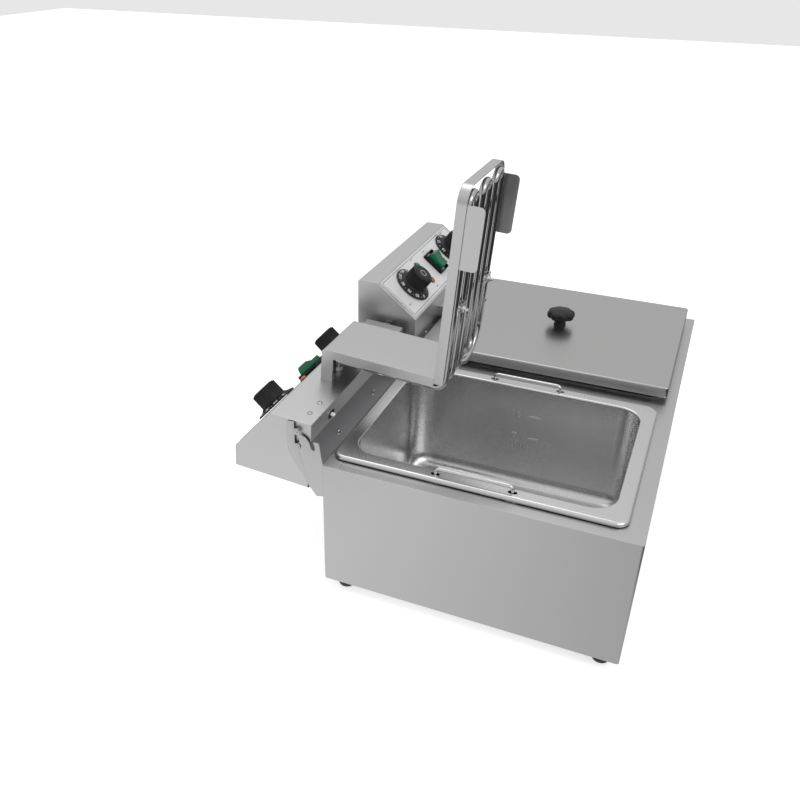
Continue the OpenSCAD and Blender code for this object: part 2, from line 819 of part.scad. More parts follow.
module lamp(side, k) {
    at_head(side) at_panel(lamp_x, lamp_u + k * lamp_pitch) {
        translate([0, 0, plate_h]) rotate_extrude() intersection() {
            translate([0, -lamp_d * 0.35]) circle(lamp_d * 0.65);
            square([lamp_d / 2, lamp_d]);
        }
        translate([0, 0, -18]) cylinder(d = lamp_neck, h = 18.5 + plate_h);
    }
}

module left_green_lamp() {
    color("limegreen") lamp(LEFT, 0);
}

module right_green_lamp() {
    color("limegreen") lamp(RIGHT, 0);
}

module left_orange_lamp() {
    color("orange") lamp(LEFT, 1);
}

module right_orange_lamp() {
    color("orange") lamp(RIGHT, 1);
}

safety_h = 16;
plunger_travel = 3;
plunger_out = 5;
plunger_tip = 1;
plunger_in = 6;
safety_w = 28;
safety_d = 10;

module safety_switch(side) {
    at_head(side) translate([plunger_x, plunger_y, head_low + head_t + fit]) difference() {
        translate([-safety_w / 2, -safety_d / 2, 0]) cube([safety_w, safety_d, safety_h]);
        translate([0, 0, -cut])
            cylinder(d = plunger_d + 2 * bearing, h = cut + plunger_in + 2 * plunger_travel);
    }
}

module switch_plunger(side) {
    at_head(side) translate([plunger_x, plunger_y, head_low]) {
        translate([0, 0, plunger_tip - plunger_out])
            cylinder(d = plunger_d, h = plunger_out + head_t + plunger_in);
        translate([0, 0, -plunger_out])
            cylinder(d1 = plunger_d - 2 * plunger_tip, d2 = plunger_d, h = plunger_tip);
    }
}

module left_safety_switch() {
    color("dimgray") safety_switch(LEFT);
}

module right_safety_switch() {
    color("dimgray") safety_switch(RIGHT);
}

module left_switch_plunger() {
    color("white") switch_plunger(LEFT);
}

module right_switch_plunger() {
    color("white") switch_plunger(RIGHT);
}

gland_d = 24;
gland_bore = 8.5;
gland_flange = 6;
gland_nose = 9;

module cable_gland(side) {
    at_head(side) translate([gland_x, head_back, gland_z]) rotate([-90, 0, 0]) difference() {
        union() {
            translate([0, 0, -head_t - gland_flange - 2])
                cylinder(d = gland_hole, h = head_t + gland_flange + 4);
            translate([0, 0, -head_t - fit - gland_flange])
                cylinder(d = gland_d, h = gland_flange, $fn = 6);
            cylinder(d = gland_d, h = gland_flange, $fn = 6);
            translate([0, 0, gland_flange])
                cylinder(d1 = 0.8 * gland_d, d2 = gland_bore + 4.5, h = gland_nose);
        }
        translate([0, 0, -gland_d]) cylinder(d = gland_bore, h = 2 * gland_d);
    }
}

module left_cable_gland() {
    color("dimgray") cable_gland(LEFT);
}

module right_cable_gland() {
    color("dimgray") cable_gland(RIGHT);
}

// RISER AND HEATING ELEMENT

guard_left = -riser_w / 2;
guard_mid = guard_left + guard_w / 2;
guard_top = guard_h - guard_low;
tube_level = guard_top - guard_h / 2;
run_x = [for (k = [-2.5:1:2.5]) guard_mid + k * tube_pitch];
leg_room = 5;
leg_y = -riser_reach + riser_t + tube_d / 2 + leg_room;
last_leg_x = riser_w / 2 - riser_t - tube_d;
leg_x = [run_x[0], run_x[1], run_x[2], last_leg_x];
capillary_d = 2.5;
capillary_x = [(run_x[1] + run_x[2]) / 2 - bulb_d / 2 - 0.5, (run_x[1] + run_x[2]) / 2 + bulb_d / 2 + 0.5];
turn_r = tube_pitch / 2;
turn_gap = 1;
run_front = -guard_front + guard_t + tube_d / 2 + turn_r + turn_gap;
guard_len = guard_front - riser_reach;
top_bend = 9;
leg_end = head_front + head_t + 14;
stub_d = 3;
stub_l = 8;

// A riser cover seen from its side, drawn in by t: arms from the head, a bend, and a front plate below it
module riser_side(t, arm, flange, low) {
    bend_y = riser_bend - riser_reach;
    bend_z = riser_top - riser_bend;
    translate([bend_y, riser_top - arm]) square([head_front - bend_y + t, arm - t]);
    translate([t - riser_reach, low]) square([flange - t, bend_z - low]);
    translate([bend_y, bend_z]) circle(riser_bend - t);
}

module riser_cover(side) {
    reach = riser_reach + head_front;
    color("silver") at_head(side) difference() {
        along_x(-riser_w / 2, riser_w) riser_side(0, riser_arm, riser_flange, guard_top);
        along_x(riser_t - riser_w / 2, riser_w - 2 * riser_t)
            riser_side(riser_t, riser_top - guard_top + cut, reach + cut, guard_top - cut);
    }
}

module left_riser_cover() {
    riser_cover(LEFT);
}

module right_riser_cover() {
    riser_cover(RIGHT);
}

skid_front = -guard_front + skid_back;
far_strip_back = -riser_reach + 9;

module guard_band(inset) {
    w = guard_w - 2 * inset;
    l = guard_front + far_strip_back - inset;
    r = guard_corner - inset;
    translate([guard_mid, -guard_front + inset + l / 2]) {
        translate([0, r / 2]) square([w, l - r], center = true);
        square([w - 2 * r, l], center = true);
        for (x = [-1, 1]) translate([x * (w / 2 - r), -l / 2 + r]) circle(r);
    }
}

module element_guard(side) {
    lip = 7;
    x_left = guard_mid - guard_w / 2;
    color("silver") at_head(side) {
        translate([0, 0, -guard_low]) difference() {
            linear_extrude(guard_h) guard_band(0);
            translate([0, 0, -cut]) linear_extrude(guard_h + 2 * cut) guard_band(guard_t);
            translate([guard_mid - guard_w, far_strip_back - guard_t - fit, -cut])
                cube([2 * guard_w, 4 * guard_t, guard_h + 2 * cut]);
            translate([guard_mid - guard_w, -riser_reach - fit, guard_h - 0.01])
                cube([guard_w, riser_reach, cut]);
        }
        translate([0, 0, guard_top - guard_t]) linear_extrude(guard_t) difference() {
            guard_band(0);
            translate([guard_mid - guard_w, -guard_front + lip]) square([2 * guard_w, guard_front]);
        }
        for (x = [x_left, x_left + guard_w - guard_t])
            along_x(x, guard_t) {
                translate([skid_front + skid_l / 2, -guard_low - skid_h / 2 + 1])
                    round_rect(skid_l, skid_h + 2, 6);
                translate([skid_front, -guard_low - skid_h / 2]) square([skid_l, skid_h / 2 + 1]);
            }
    }
}

module left_element_guard() {
    element_guard(LEFT);
}

module right_element_guard() {
    element_guard(RIGHT);
}

// A straight length of tube that starts at p and runs along the axis named by a
module tube_run(p, l, a) {
    translate(p) rotate(a) cylinder(d = tube_d, h = l, $fn = 32);
}

// A quarter bend or half bend of tube about Z, starting at angle 0
module tube_bend(r, angle) {
    rotate_extrude(angle = angle, $fn = 64) translate([r, 0]) circle(d = tube_d, $fn = 32);
}

// A leg that turns up from a run, and at its top back into the head
module tube_leg(x) {
    low = tube_level + leg_bend;
    tube_run([x, leg_y, low], tube_z - top_bend - low, [0, 0, 0]);
    translate([x, leg_y + top_bend, tube_z - top_bend]) rotate([90, 0, -90]) tube_bend(top_bend, 90);
    tube_run([x, leg_y + top_bend, tube_z], leg_end - leg_y - top_bend, [-90, 0, 0]);
    translate([x, leg_end, tube_z]) rotate([-90, 0, 0]) cylinder(d = stub_d, h = stub_l, $fn = 24);
}

// The turn from a straight run up into its leg
module run_to_leg(x) {
    tube_run([x, run_front, tube_level], leg_y - leg_bend - run_front, [-90, 0, 0]);
    translate([x, leg_y - leg_bend, tube_level + leg_bend]) rotate([90, 0, 90])
        rotate(-90) tube_bend(leg_bend, 90);
    tube_leg(x);
}

module front_turn(x) {
    translate([x + turn_r, run_front, tube_level]) rotate(180) tube_bend(turn_r, 180);
}

rear_turn_y = leg_y - tube_d - 4 - turn_r;
wide_bend = tube_pitch + turn_r;
side_bend = 12;

module heating_tubes(side) {
    color("slategray") at_head(side) {
        run_to_leg(run_x[0]);
        front_turn(run_x[0]);
        run_to_leg(run_x[1]);
        run_to_leg(run_x[2]);
        for (k = [2, 4]) front_turn(run_x[k]);
        for (k = [3, 4]) tube_run([run_x[k], run_front, tube_level], rear_turn_y - run_front, [-90, 0, 0]);
        translate([run_x[3] + turn_r, rear_turn_y, tube_level]) tube_bend(turn_r, 180);
        tube_run([run_x[5], run_front, tube_level], leg_y - wide_bend - run_front, [-90, 0, 0]);
        translate([run_x[5] - wide_bend, leg_y - wide_bend, tube_level]) tube_bend(wide_bend, 90);
        tube_run([last_leg_x + side_bend, leg_y, tube_level],
            run_x[5] - wide_bend - last_leg_x - side_bend, [0, 90, 0]);
        translate([last_leg_x + side_bend, leg_y, tube_level + side_bend]) rotate([90, 0, 0])
            rotate(180) tube_bend(side_bend, 90);
        tube_run([last_leg_x, leg_y, tube_level + side_bend], leg_bend - side_bend + 0.01, [0, 0, 0]);
        tube_leg(last_leg_x);
    }
}

module left_heating_tubes() {
    heating_tubes(LEFT);
}

module right_heating_tubes() {
    heating_tubes(RIGHT);
}

nut_d = 12.7;
nut_h = 5;
washer_d = 13.2;
washer_t = 1;

module tube_nuts(side) {
    color("gainsboro") at_head(side) for (x = leg_x) translate([x, 0, tube_z]) difference() {
        union() {
            translate([0, head_front, 0]) rotate([90, 0, 0]) cylinder(d = washer_d, h = washer_t);
            translate([0, head_front - washer_t, 0]) rotate([90, 0, 0])
                cylinder(d = nut_d, h = nut_h, $fn = 6);
            translate([0, head_front + head_t, 0]) rotate([-90, 0, 0])
                cylinder(d = nut_d, h = nut_h, $fn = 6);
        }
        rotate([90, 0, 0]) cylinder(d = tube_d + 2 * fit, h = 60, center = true);
    }
}

module left_tube_nuts() {
    tube_nuts(LEFT);
}

module right_tube_nuts() {
    tube_nuts(RIGHT);
}

strap_w = 10;
strap_t = 1.2;
strap_y = [for (k = [0.34, 0.75]) k * guard_len - guard_front];
strap_top = tube_level - tube_d / 2 - 0.1;
clamp_rivet_d = 7;
clamp_post_d = 6;

module clamp_straps(side) {
    w = guard_w - 2 * guard_t - 2 * fit;
    color("gainsboro") at_head(side) for (y = strap_y) {
        translate([guard_mid - w / 2, y - strap_w / 2, strap_top - strap_t]) cube([w, strap_w, strap_t]);
        for (k = [0, 4]) translate([(run_x[k] + run_x[k + 1]) / 2, y, strap_top - strap_t]) {
            mirror([0, 0, 1]) dome_head(clamp_rivet_d, 2);
            translate([-tube_pitch / 2 - 3, -strap_w / 2, tube_d + strap_t + run])
                cube([tube_pitch + 6, strap_w, strap_t]);
            cylinder(d = clamp_post_d, h = tube_d + strap_t + run + 0.1);
        }
    }
}

module left_clamp_straps() {
    clamp_straps(LEFT);
}

module right_clamp_straps() {
    clamp_straps(RIGHT);
}

bulb_gap = 34;

module sensor_bulbs(side) {
    bulb_back = -riser_reach - bulb_gap;
    z = strap_top + bulb_d / 2 + 0.1;
    rise_y = leg_y;
    bend = 5;
    color("peru") at_head(side) for (x = capillary_x) {
        translate([x, bulb_back - bulb_l, z]) rotate([-90, 0, 0])
            cylinder(d = bulb_d, h = bulb_l, $fn = 32);
        translate([x, bulb_back, z]) rotate([-90, 0, 0])
            cylinder(d = capillary_d, h = rise_y - bend - bulb_back, $fn = 24);
        translate([x, rise_y - bend, z + bend]) rotate([90, 0, 90]) rotate(-90)
            rotate_extrude(angle = 90, $fn = 48) translate([bend, 0]) circle(d = capillary_d, $fn = 24);
        translate([x, rise_y, z + bend]) cylinder(d = capillary_d, h = tube_z - bend - z - bend, $fn = 24);
        translate([x, rise_y + bend, tube_z - bend]) rotate([90, 0, -90])
            rotate_extrude(angle = 90, $fn = 48) translate([bend, 0]) circle(d = capillary_d, $fn = 24);
        translate([x, rise_y + bend, tube_z]) rotate([-90, 0, 0])
            cylinder(d = capillary_d, h = leg_end - 2 * head_t - rise_y - bend, $fn = 24);
    }
}

module left_sensor_bulbs() {
    sensor_bulbs(LEFT);
}

module right_sensor_bulbs() {
    sensor_bulbs(RIGHT);
}

casing_shell();
back_panel();
base_panel();
rubber_feet();
hinge_brackets();
case_screws();
left_tank();
right_tank();
left_tank_near_bail();
left_tank_far_bail();
right_tank_near_bail();
right_tank_far_bail();
right_lid();
lid_knob();
lid_screw();
left_head_housing();
right_head_housing();
left_bottom_cover();
right_bottom_cover();
left_panel_plate();
right_panel_plate();
left_head_screws();
right_head_screws();
left_hinge_pins();
right_hinge_pins();
left_thermostat_knob();
right_thermostat_knob();
left_thermostat_body();
right_thermostat_body();
left_timer_knob();
right_timer_knob();
left_timer_body();
right_timer_body();
left_switch_frame();
right_switch_frame();
left_switch_rocker();
right_switch_rocker();
left_green_lamp();
right_green_lamp();
left_orange_lamp();
right_orange_lamp();
left_safety_switch();
right_safety_switch();
left_switch_plunger();
right_switch_plunger();
left_cable_gland();
right_cable_gland();
left_riser_cover();
right_riser_cover();
left_element_guard();
right_element_guard();
left_heating_tubes();
right_heating_tubes();
left_tube_nuts();
right_tube_nuts();
left_clamp_straps();
right_clamp_straps();
left_sensor_bulbs();
right_sensor_bulbs();
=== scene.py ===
# %% [markdown]
# A double deep fryer stands on a worktop: a sheet-metal cabinet with two oil tanks, and behind each tank
# a control head that carries a heating element. This lesson dresses the working model of the fryer:
# it keeps every place and every joint, and adds bends, rolled rims, grips, marks and finishes.
# The first cell loads the frame, which holds each piece at its real size.

# %% Load the frame
import json
import math

import bmesh
import bpy
from mathutils import Matrix, Vector


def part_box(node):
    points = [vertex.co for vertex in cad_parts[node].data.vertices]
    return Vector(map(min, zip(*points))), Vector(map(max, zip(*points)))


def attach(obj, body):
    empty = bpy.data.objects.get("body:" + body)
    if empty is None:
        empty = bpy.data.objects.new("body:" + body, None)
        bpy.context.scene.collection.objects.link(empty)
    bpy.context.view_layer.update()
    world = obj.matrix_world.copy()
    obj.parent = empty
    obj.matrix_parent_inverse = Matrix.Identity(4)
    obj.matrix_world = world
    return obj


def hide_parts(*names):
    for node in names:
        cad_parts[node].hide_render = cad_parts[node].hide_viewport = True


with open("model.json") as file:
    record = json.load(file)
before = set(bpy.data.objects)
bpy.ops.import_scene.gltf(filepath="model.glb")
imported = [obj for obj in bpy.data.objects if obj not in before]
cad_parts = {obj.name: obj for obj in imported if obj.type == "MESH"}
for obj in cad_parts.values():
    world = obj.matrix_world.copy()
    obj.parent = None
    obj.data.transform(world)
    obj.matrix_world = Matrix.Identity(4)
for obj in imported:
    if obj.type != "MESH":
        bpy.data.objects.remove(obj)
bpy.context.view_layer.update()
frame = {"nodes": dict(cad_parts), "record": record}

# %% [markdown]
# Every size below is in millimetres and is read from the frame where it can be. Each half of the fryer is
# a unit with its own coordinates: x from the unit's middle, y backwards from the cabinet's back, z up from
# the cabinet's top. A head uses the same coordinates while it is lowered, and a matrix then swings it up.
# Two short helpers stand for a shift and for a turn in degrees, because every place is made of these.

# %% Units and places
MM = 0.001
LEFT, RIGHT = 0, 1
SIDES = {LEFT: "left", RIGHT: "right"}
record = frame["record"]
head_swing = next(j for j in record["behaviour"]["joints"] if j["name"] == "left_head_swing")
node_body = {n: b for b, nodes in record["behaviour"]["bodies"].items() for n in nodes}
case_low, case_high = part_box("casing_shell")
PITCH = (case_high.x - case_low.x) / 2 / MM
BACK_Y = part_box("back_panel")[1].y
TOP_Z = case_high.z
RAISED_TILT = head_swing["range_deg"][1]
PIVOT_Y = (head_swing["pos_m"][1] - BACK_Y) / MM
PIVOT_Z = (head_swing["pos_m"][2] - TOP_Z) / MM
METRES = Matrix.Scale(MM, 4)


def shift(x=0, y=0, z=0):
    return Matrix.Translation((x, y, z))


def spin(degrees, axis="Z"):
    return Matrix.Rotation(math.radians(degrees), 4, axis)


def at_unit(side):
    return shift((side - 0.5) * PITCH * MM, BACK_Y, TOP_Z) @ METRES


def at_head(side):
    swing = spin(-RAISED_TILT if side == LEFT else 0, "X")
    return at_unit(side) @ shift(0, PIVOT_Y, PIVOT_Z) @ swing @ shift(0, -PIVOT_Y, -PIVOT_Z)


def linked(name, data):
    obj = bpy.data.objects.new(name, data)
    bpy.context.scene.collection.objects.link(obj)
    return obj


print("unit pitch", round(PITCH, 1), "mm, pivot at", round(PIVOT_Y, 1), round(PIVOT_Z, 1))

# %% [markdown]
# The camera stands where the photographer stood: to the left of the fryer, a little in front of it and
# above it. Its place was worked out from the straight edges of the cabinet, as was its focal length.

# %% Camera
CAMERA_AT = (-1.0525, -0.1849, 0.7552)
CAMERA_AZIMUTH, CAMERA_ELEVATION, CAMERA_ROLL = -67.05, 30.69, 0.37
FOCAL_PX = 834
PRINCIPAL_PX = (368, 414)
FRAME_PX = 800
SENSOR = 36

camera = linked("camera", bpy.data.cameras.new("camera"))
bpy.context.scene.camera = camera
azimuth, elevation = math.radians(CAMERA_AZIMUTH), math.radians(CAMERA_ELEVATION)
level = math.cos(elevation)
backward = Vector((math.sin(azimuth) * level, -math.cos(azimuth) * level, math.sin(elevation)))
camera.location = CAMERA_AT
camera.rotation_mode = "QUATERNION"
camera.rotation_quaternion = (-backward).to_track_quat("-Z", "Y") @ spin(CAMERA_ROLL).to_quaternion()
camera.data.sensor_width = SENSOR
camera.data.lens = FOCAL_PX / FRAME_PX * SENSOR
camera.data.shift_x = 0.5 - PRINCIPAL_PX[0] / FRAME_PX
camera.data.shift_y = PRINCIPAL_PX[1] / FRAME_PX - 0.5
print("lens", round(camera.data.lens, 2), "mm")

# %% [markdown]
# Light, finishes and shapes that follow a rule are all node trees. A tree reads best when a node and its
# inputs stand in one line, so one helper adds a node and fills each input, with a value or with a link
# from an earlier node. The others are the few nodes that come back in every tree.

# %% Node helpers
def fill(tree, node, inputs):
    for name, value in inputs.items():
        if isinstance(value, bpy.types.NodeSocket):
            tree.links.new(value, node.inputs[name])
        else:
            node.inputs[name].default_value = value
    return node


def add(tree, kind, inputs=(), **settings):
    node = tree.nodes.new(kind)
    for name, value in settings.items():
        setattr(node, name, value)
    return fill(tree, node, dict(inputs))


def ramp(tree, factor, dark, light, low=0.0, high=1.0):
    node = add(tree, "ShaderNodeValToRGB", {"Fac": factor})
    for element, colour, position in zip(node.color_ramp.elements, (dark, light), (low, high)):
        element.color = (*colour, 1)
        element.position = position
    return node.outputs["Color"]


def remap(tree, value, start, end, low=0.0, high=1.0):
    limits = {"Value": value, "From Min": start, "From Max": end, "To Min": low, "To Max": high}
    return add(tree, "ShaderNodeMapRange", limits).outputs["Result"]


def combine(tree, operation, first, second):
    return add(tree, "ShaderNodeMath", {0: first, 1: second}, operation=operation).outputs[0]


def mixed(tree, choice, first, second):
    return add(tree, "ShaderNodeMixShader", {0: choice, 1: first, 2: second}).outputs[0]


print("node helpers ready")

# %% [markdown]
# The fryer is photographed on white in a light tent. A white world does most of the lighting, and three soft
# lamps give the sheet metal its gradients. Metal shows what it mirrors, so the world is a little darker
# towards the horizon for reflections, as the walls of such a tent are.

# %% World and lamps
AMBIENT = 0.85
TENT_WALL, TENT_ROOF, ROOF_FROM = (0.60, 0.60, 0.61), (0.86, 0.86, 0.86), 0.8


def world_light():
    world = bpy.data.worlds.new("light_tent")
    bpy.context.scene.world = world
    world.use_nodes = True
    tree = world.node_tree
    tree.nodes.clear()
    path = add(tree, "ShaderNodeLightPath").outputs
    split = add(tree, "ShaderNodeSeparateXYZ", {0: add(tree, "ShaderNodeTexCoord").outputs["Generated"]})
    tent = ramp(tree, split.outputs["Z"], TENT_WALL, TENT_ROOF, 0.0, ROOF_FROM)
    plain = add(tree, "ShaderNodeBackground", {"Strength": AMBIENT}).outputs[0]
    seen = add(tree, "ShaderNodeBackground", {"Strength": 1}).outputs[0]
    mirrored = add(tree, "ShaderNodeBackground", {"Strength": 1, "Color": tent}).outputs[0]
    lit = mixed(tree, path["Is Glossy Ray"], plain, mirrored)
    direct = combine(tree, "MAXIMUM", path["Is Camera Ray"], path["Is Transmission Ray"])
    add(tree, "ShaderNodeOutputWorld", {"Surface": mixed(tree, direct, lit, seen)})


def soft_lamp(name, place, target, size, watts):
    lamp = linked(name, bpy.data.lights.new(name, "AREA"))
    lamp.data.shape = "RECTANGLE"
    lamp.data.size, lamp.data.size_y = size
    lamp.data.energy = watts
    lamp.location = place
    lamp.rotation_mode = "QUATERNION"
    lamp.rotation_quaternion = (Vector(target) - Vector(place)).to_track_quat("-Z", "Y")
    return lamp


world_light()
soft_lamp("key_lamp", (-0.9, -1.6, 2.0), (0, 0, 0.2), (1.4, 1.0), 12)
side_lamp = soft_lamp("side_lamp", (-2.2, 0.3, 0.9), (0, 0.25, 0.25), (1.2, 1.0), 14)
side_lamp.visible_glossy = False
soft_lamp("top_lamp", (0.6, 0.6, 2.2), (0, 0, 0.2), (1.6, 1.2), 8)
bpy.context.scene.view_settings.view_transform = "Standard"

# %% [markdown]
# Brushed sheet has fine scratches along one direction: noise squeezed on the other axes gives them, and it
# drives the roughness, a faint bump and a slight change of tone. Broad clouds of noise keep a large sheet
# from looking too even. Object coordinates keep the scratches at their real size.

# %% Metal finishes
NOISE = (0.15, 0.85)
CLOUDS, CLOUD_SPREAD = (9, 9, 9), 0.012


def new_material(name):
    material = bpy.data.materials.new(name)
    material.use_nodes = True
    return material, material.node_tree, material.node_tree.nodes["Principled BSDF"]


def noise_on_object(tree, scale, detail):
    where = add(tree, "ShaderNodeTexCoord").outputs["Object"]
    mapping = add(tree, "ShaderNodeMapping", {"Vector": where, "Scale": scale})
    inputs = {"Vector": mapping.outputs["Vector"], "Scale": 1, "Detail": detail}
    return add(tree, "ShaderNodeTexNoise", inputs).outputs["Fac"]


def toned(tree, factor, colour, contrast):
    dark = [c * (1 - contrast) for c in colour]
    light = [min(1, c * (1 + contrast)) for c in colour]
    return ramp(tree, factor, dark, light, *NOISE)


def bumped(tree, height, depth, distance):
    inputs = {"Height": height, "Strength": depth, "Distance": distance}
    return add(tree, "ShaderNodeBump", inputs).outputs["Normal"]


def brushed_metal(name, colour, rough, grain, depth, contrast):
    material, tree, shader = new_material(name)
    scratches, clouds = noise_on_object(tree, grain, 6), noise_on_object(tree, CLOUDS, 2)
    fine = remap(tree, scratches, *NOISE, rough * 0.95, rough * 1.05)
    broad = remap(tree, clouds, *NOISE, -CLOUD_SPREAD, CLOUD_SPREAD)
    fill(tree, shader, {"Metallic": 1, "Base Color": toned(tree, scratches, colour, contrast),
                        "Roughness": combine(tree, "ADD", fine, broad)})
    if depth:
        fill(tree, shader, {"Normal": bumped(tree, scratches, depth, 0.0002)})
    return material


ACROSS_Z = (8, 8, 1100)
ALONG_X = (8, 1100, 1100)
ALL_WAYS = (700, 700, 700)
SATIN = (25, 25, 25)
case_steel = brushed_metal("case_steel", (0.52, 0.52, 0.525), 0.34, ACROSS_Z, 0.004, 0.012)
head_steel = brushed_metal("head_steel", (0.57, 0.57, 0.57), 0.38, ALONG_X, 0.005, 0.015)
tank_steel = brushed_metal("tank_steel", (0.62, 0.62, 0.62), 0.27, ALL_WAYS, 0.0, 0.004)
lid_steel = brushed_metal("lid_steel", (0.47, 0.47, 0.465), 0.30, ALONG_X, 0.0015, 0.006)
riser_steel = brushed_metal("riser_steel", (0.54, 0.54, 0.54), 0.31, ALONG_X, 0.0015, 0.008)
plate_steel = brushed_metal("plate_steel", (0.50, 0.50, 0.50), 0.24, ALL_WAYS, 0.005, 0.02)
dull_steel = brushed_metal("dull_steel", (0.30, 0.30, 0.31), 0.45, ALL_WAYS, 0.03, 0.08)
tube_steel = brushed_metal("tube_steel", (0.50, 0.50, 0.50), 0.11, ALL_WAYS, 0.0, 0.02)
bright_wire = brushed_metal("bright_wire", (0.66, 0.66, 0.655), 0.16, ALL_WAYS, 0.005, 0.02)
bulb_steel = brushed_metal("bulb_steel", (0.42, 0.41, 0.40), 0.28, ALL_WAYS, 0.010, 0.05)
# The level marks' steel is lighter than the tank's: the lighter tone is a painted highlight for the light
# pressed marks catch.
mark_steel_painted_highlight = brushed_metal("mark_steel_painted_highlight", (0.76, 0.76, 0.76), 0.36, SATIN, 0.0, 0.01)
print("metal finishes:", len(bpy.data.materials))

# %% [markdown]
# The plastics are plain mouldings. Their surface is not perfectly even: a fine grain breaks up the gloss,
# and the translucent rocker and lenses let some light through. Rubber, foil and print are made the same way.

# %% Plastics, rubber and print
CLEAR_GLOSS = 0.25


def moulded(name, colour, rough, grain=2500, depth=0.15, contrast=0.12, gloss=0.5):
    material, tree, shader = new_material(name)
    fine, broad = noise_on_object(tree, (grain,) * 3, 3), noise_on_object(tree, (25, 25, 25), 2)
    fill(tree, shader, {"Base Color": toned(tree, broad, colour, contrast), "Specular IOR Level": gloss,
                        "Roughness": remap(tree, fine, *NOISE, rough * 0.85, rough * 1.15),
                        "Normal": bumped(tree, fine, depth, 0.0001)})
    return material


def clear_plastic(name, colour, rough, through):
    material = moulded(name, colour, rough, 900, 0.03, 0.1, CLEAR_GLOSS)
    material.node_tree.nodes["Principled BSDF"].inputs["Transmission Weight"].default_value = through
    return material


knob_black = moulded("knob_black", (0.007, 0.007, 0.008), 0.42, gloss=0.3)
switch_black = moulded("switch_black", (0.006, 0.006, 0.007), 0.3, 1500, 0.05, gloss=0.3)
foot_rubber = moulded("foot_rubber", (0.02, 0.02, 0.02), 0.7, 1200, 0.3)
control_resin = moulded("control_resin", (0.60, 0.55, 0.45), 0.5)
plunger_white = moulded("plunger_white", (0.80, 0.80, 0.78), 0.4)
print_white = moulded("print_white", (0.90, 0.90, 0.90), 0.5, 3000, 0.02, 0.02)
print_blue = moulded("print_blue", (0.025, 0.035, 0.085), 0.5, 3000, 0.02, 0.05)
# Near-black painted shade: it stands for the shadow inside the hole round the safety plunger.
plunger_hole_painted_shade = moulded("plunger_hole_painted_shade", (0.01, 0.01, 0.01), 0.8, 1500, 0.02)
panel_foil = moulded("panel_foil", (0.70, 0.70, 0.705), 0.36, 1800, 0.05, 0.02)
rocker_green = clear_plastic("rocker_green", (0.001, 0.14, 0.065), 0.22, 0.1)
lens_green = clear_plastic("lens_green", (0.02, 0.34, 0.10), 0.12, 0.35)
lens_orange = clear_plastic("lens_orange", (0.75, 0.22, 0.02), 0.12, 0.35)
print("all finishes:", len(bpy.data.materials))

# %% [markdown]
# Sheet-metal shapes come from outlines. These helpers draw arcs and rounded rectangles, round the corners
# of an outline and set a whole outline off by a distance.

# %% Outline helpers
def arc(cx, cy, r, start, end, steps):
    turn = [math.radians(start + (end - start) * k / steps) for k in range(steps + 1)]
    return [(cx + r * math.cos(a), cy + r * math.sin(a)) for a in turn]


def round_rect(w, l, r, steps=8, cx=0, cy=0):
    points = []
    for k, (sx, sy) in enumerate(((1, 1), (-1, 1), (-1, -1), (1, -1))):
        points += arc(cx + sx * (w / 2 - r), cy + sy * (l / 2 - r), r, 90 * k, 90 * (k + 1), steps)
    return points


def fillet(here, before, after, r):
    u, v = (before - here).normalized(), (after - here).normalized()
    half = u.angle(v) / 2
    reach = r / math.tan(half)
    centre = here + (u + v).normalized() * (r / math.sin(half))
    return centre, here + u * reach - centre, here + v * reach - centre


def neighbours(points, k):
    return Vector(points[k]), Vector(points[k - 1]), Vector(points[(k + 1) % len(points)])


def round_corners(points, radii, steps=5):
    out = []
    for k, r in enumerate(radii):
        if r <= 0:
            out.append(points[k])
            continue
        centre, start, end = fillet(*neighbours(points, k), r)
        a0 = math.atan2(start.y, start.x)
        turn = math.remainder(math.atan2(end.y, end.x) - a0, 2 * math.pi)
        angles = [a0 + turn * i / steps for i in range(steps + 1)]
        out += [(centre.x + r * math.cos(a), centre.y + r * math.sin(a)) for a in angles]
    return out


def offset_outline(points, d):
    out = []
    for k in range(len(points)):
        here, before, after = neighbours(points, k)
        n1, n2 = (here - before).normalized(), (after - here).normalized()
        out_of_next = Vector((n2.y, -n2.x))
        normal = (Vector((n1.y, -n1.x)) + out_of_next).normalized()
        out.append(tuple(here + normal * (d / max(0.5, normal.dot(out_of_next)))))
    return out


def at_height(outline, z):
    return [(x, y, z) for x, y in outline]


def ring(r, z, steps):
    angles = [2 * math.pi * i / steps for i in range(steps)]
    return [(r * math.cos(a), r * math.sin(a), z) for a in angles]


print("a rounded square has", len(round_rect(10, 10, 2)), "points")

# %% [markdown]
# A shape is a pair: its points, and its faces as lists of point numbers. A loft joins outlines of the same
# number of points, a prism is a loft between two of them, and a closed loft runs back to its first outline.

# %% Shape helpers
def loft(rings, cap_first=True, cap_last=True):
    n = len(rings[0])
    verts = [v for each in rings for v in each]
    faces = []
    for k in range(len(rings) - 1):
        for i in range(n):
            j = (i + 1) % n
            faces.append((k * n + i, k * n + j, (k + 1) * n + j, (k + 1) * n + i))
    if cap_first:
        faces.append(tuple(reversed(range(n))))
    if cap_last:
        faces.append(tuple(range((len(rings) - 1) * n, len(rings) * n)))
    return verts, faces


def closed_loft(rings):
    return loft(rings + rings[:1], False, False)


def wall_between(outer, inner, z0, z1):
    outlines = ((outer, z0), (outer, z1), (inner, z1), (inner, z0))
    return closed_loft([at_height(outline, z) for outline, z in outlines])


def prism_x(outline, x0, x1):
    return loft([[(x0, y, z) for y, z in outline], [(x1, y, z) for y, z in outline]])


def prism_z(outline, z0, z1):
    return loft([at_height(outline, z0), at_height(outline, z1)])


def lathe(profile, steps=64):
    return loft([ring(r, z, steps) for r, z in profile])


def turned_ring(profile, steps):
    return closed_loft([ring(r, z, steps) for r, z in profile])


def moved(shape, matrix):
    return [tuple(matrix @ Vector(v)) for v in shape[0]], shape[1]


def joined(*shapes):
    verts, faces = [], []
    for v, f in shapes:
        start = len(verts)
        verts += v
        faces += [tuple(start + i for i in face) for face in f]
    return verts, faces


print("a prism on a rounded square has", len(prism_z(round_rect(10, 10, 2), 0, 1)[1]), "faces")

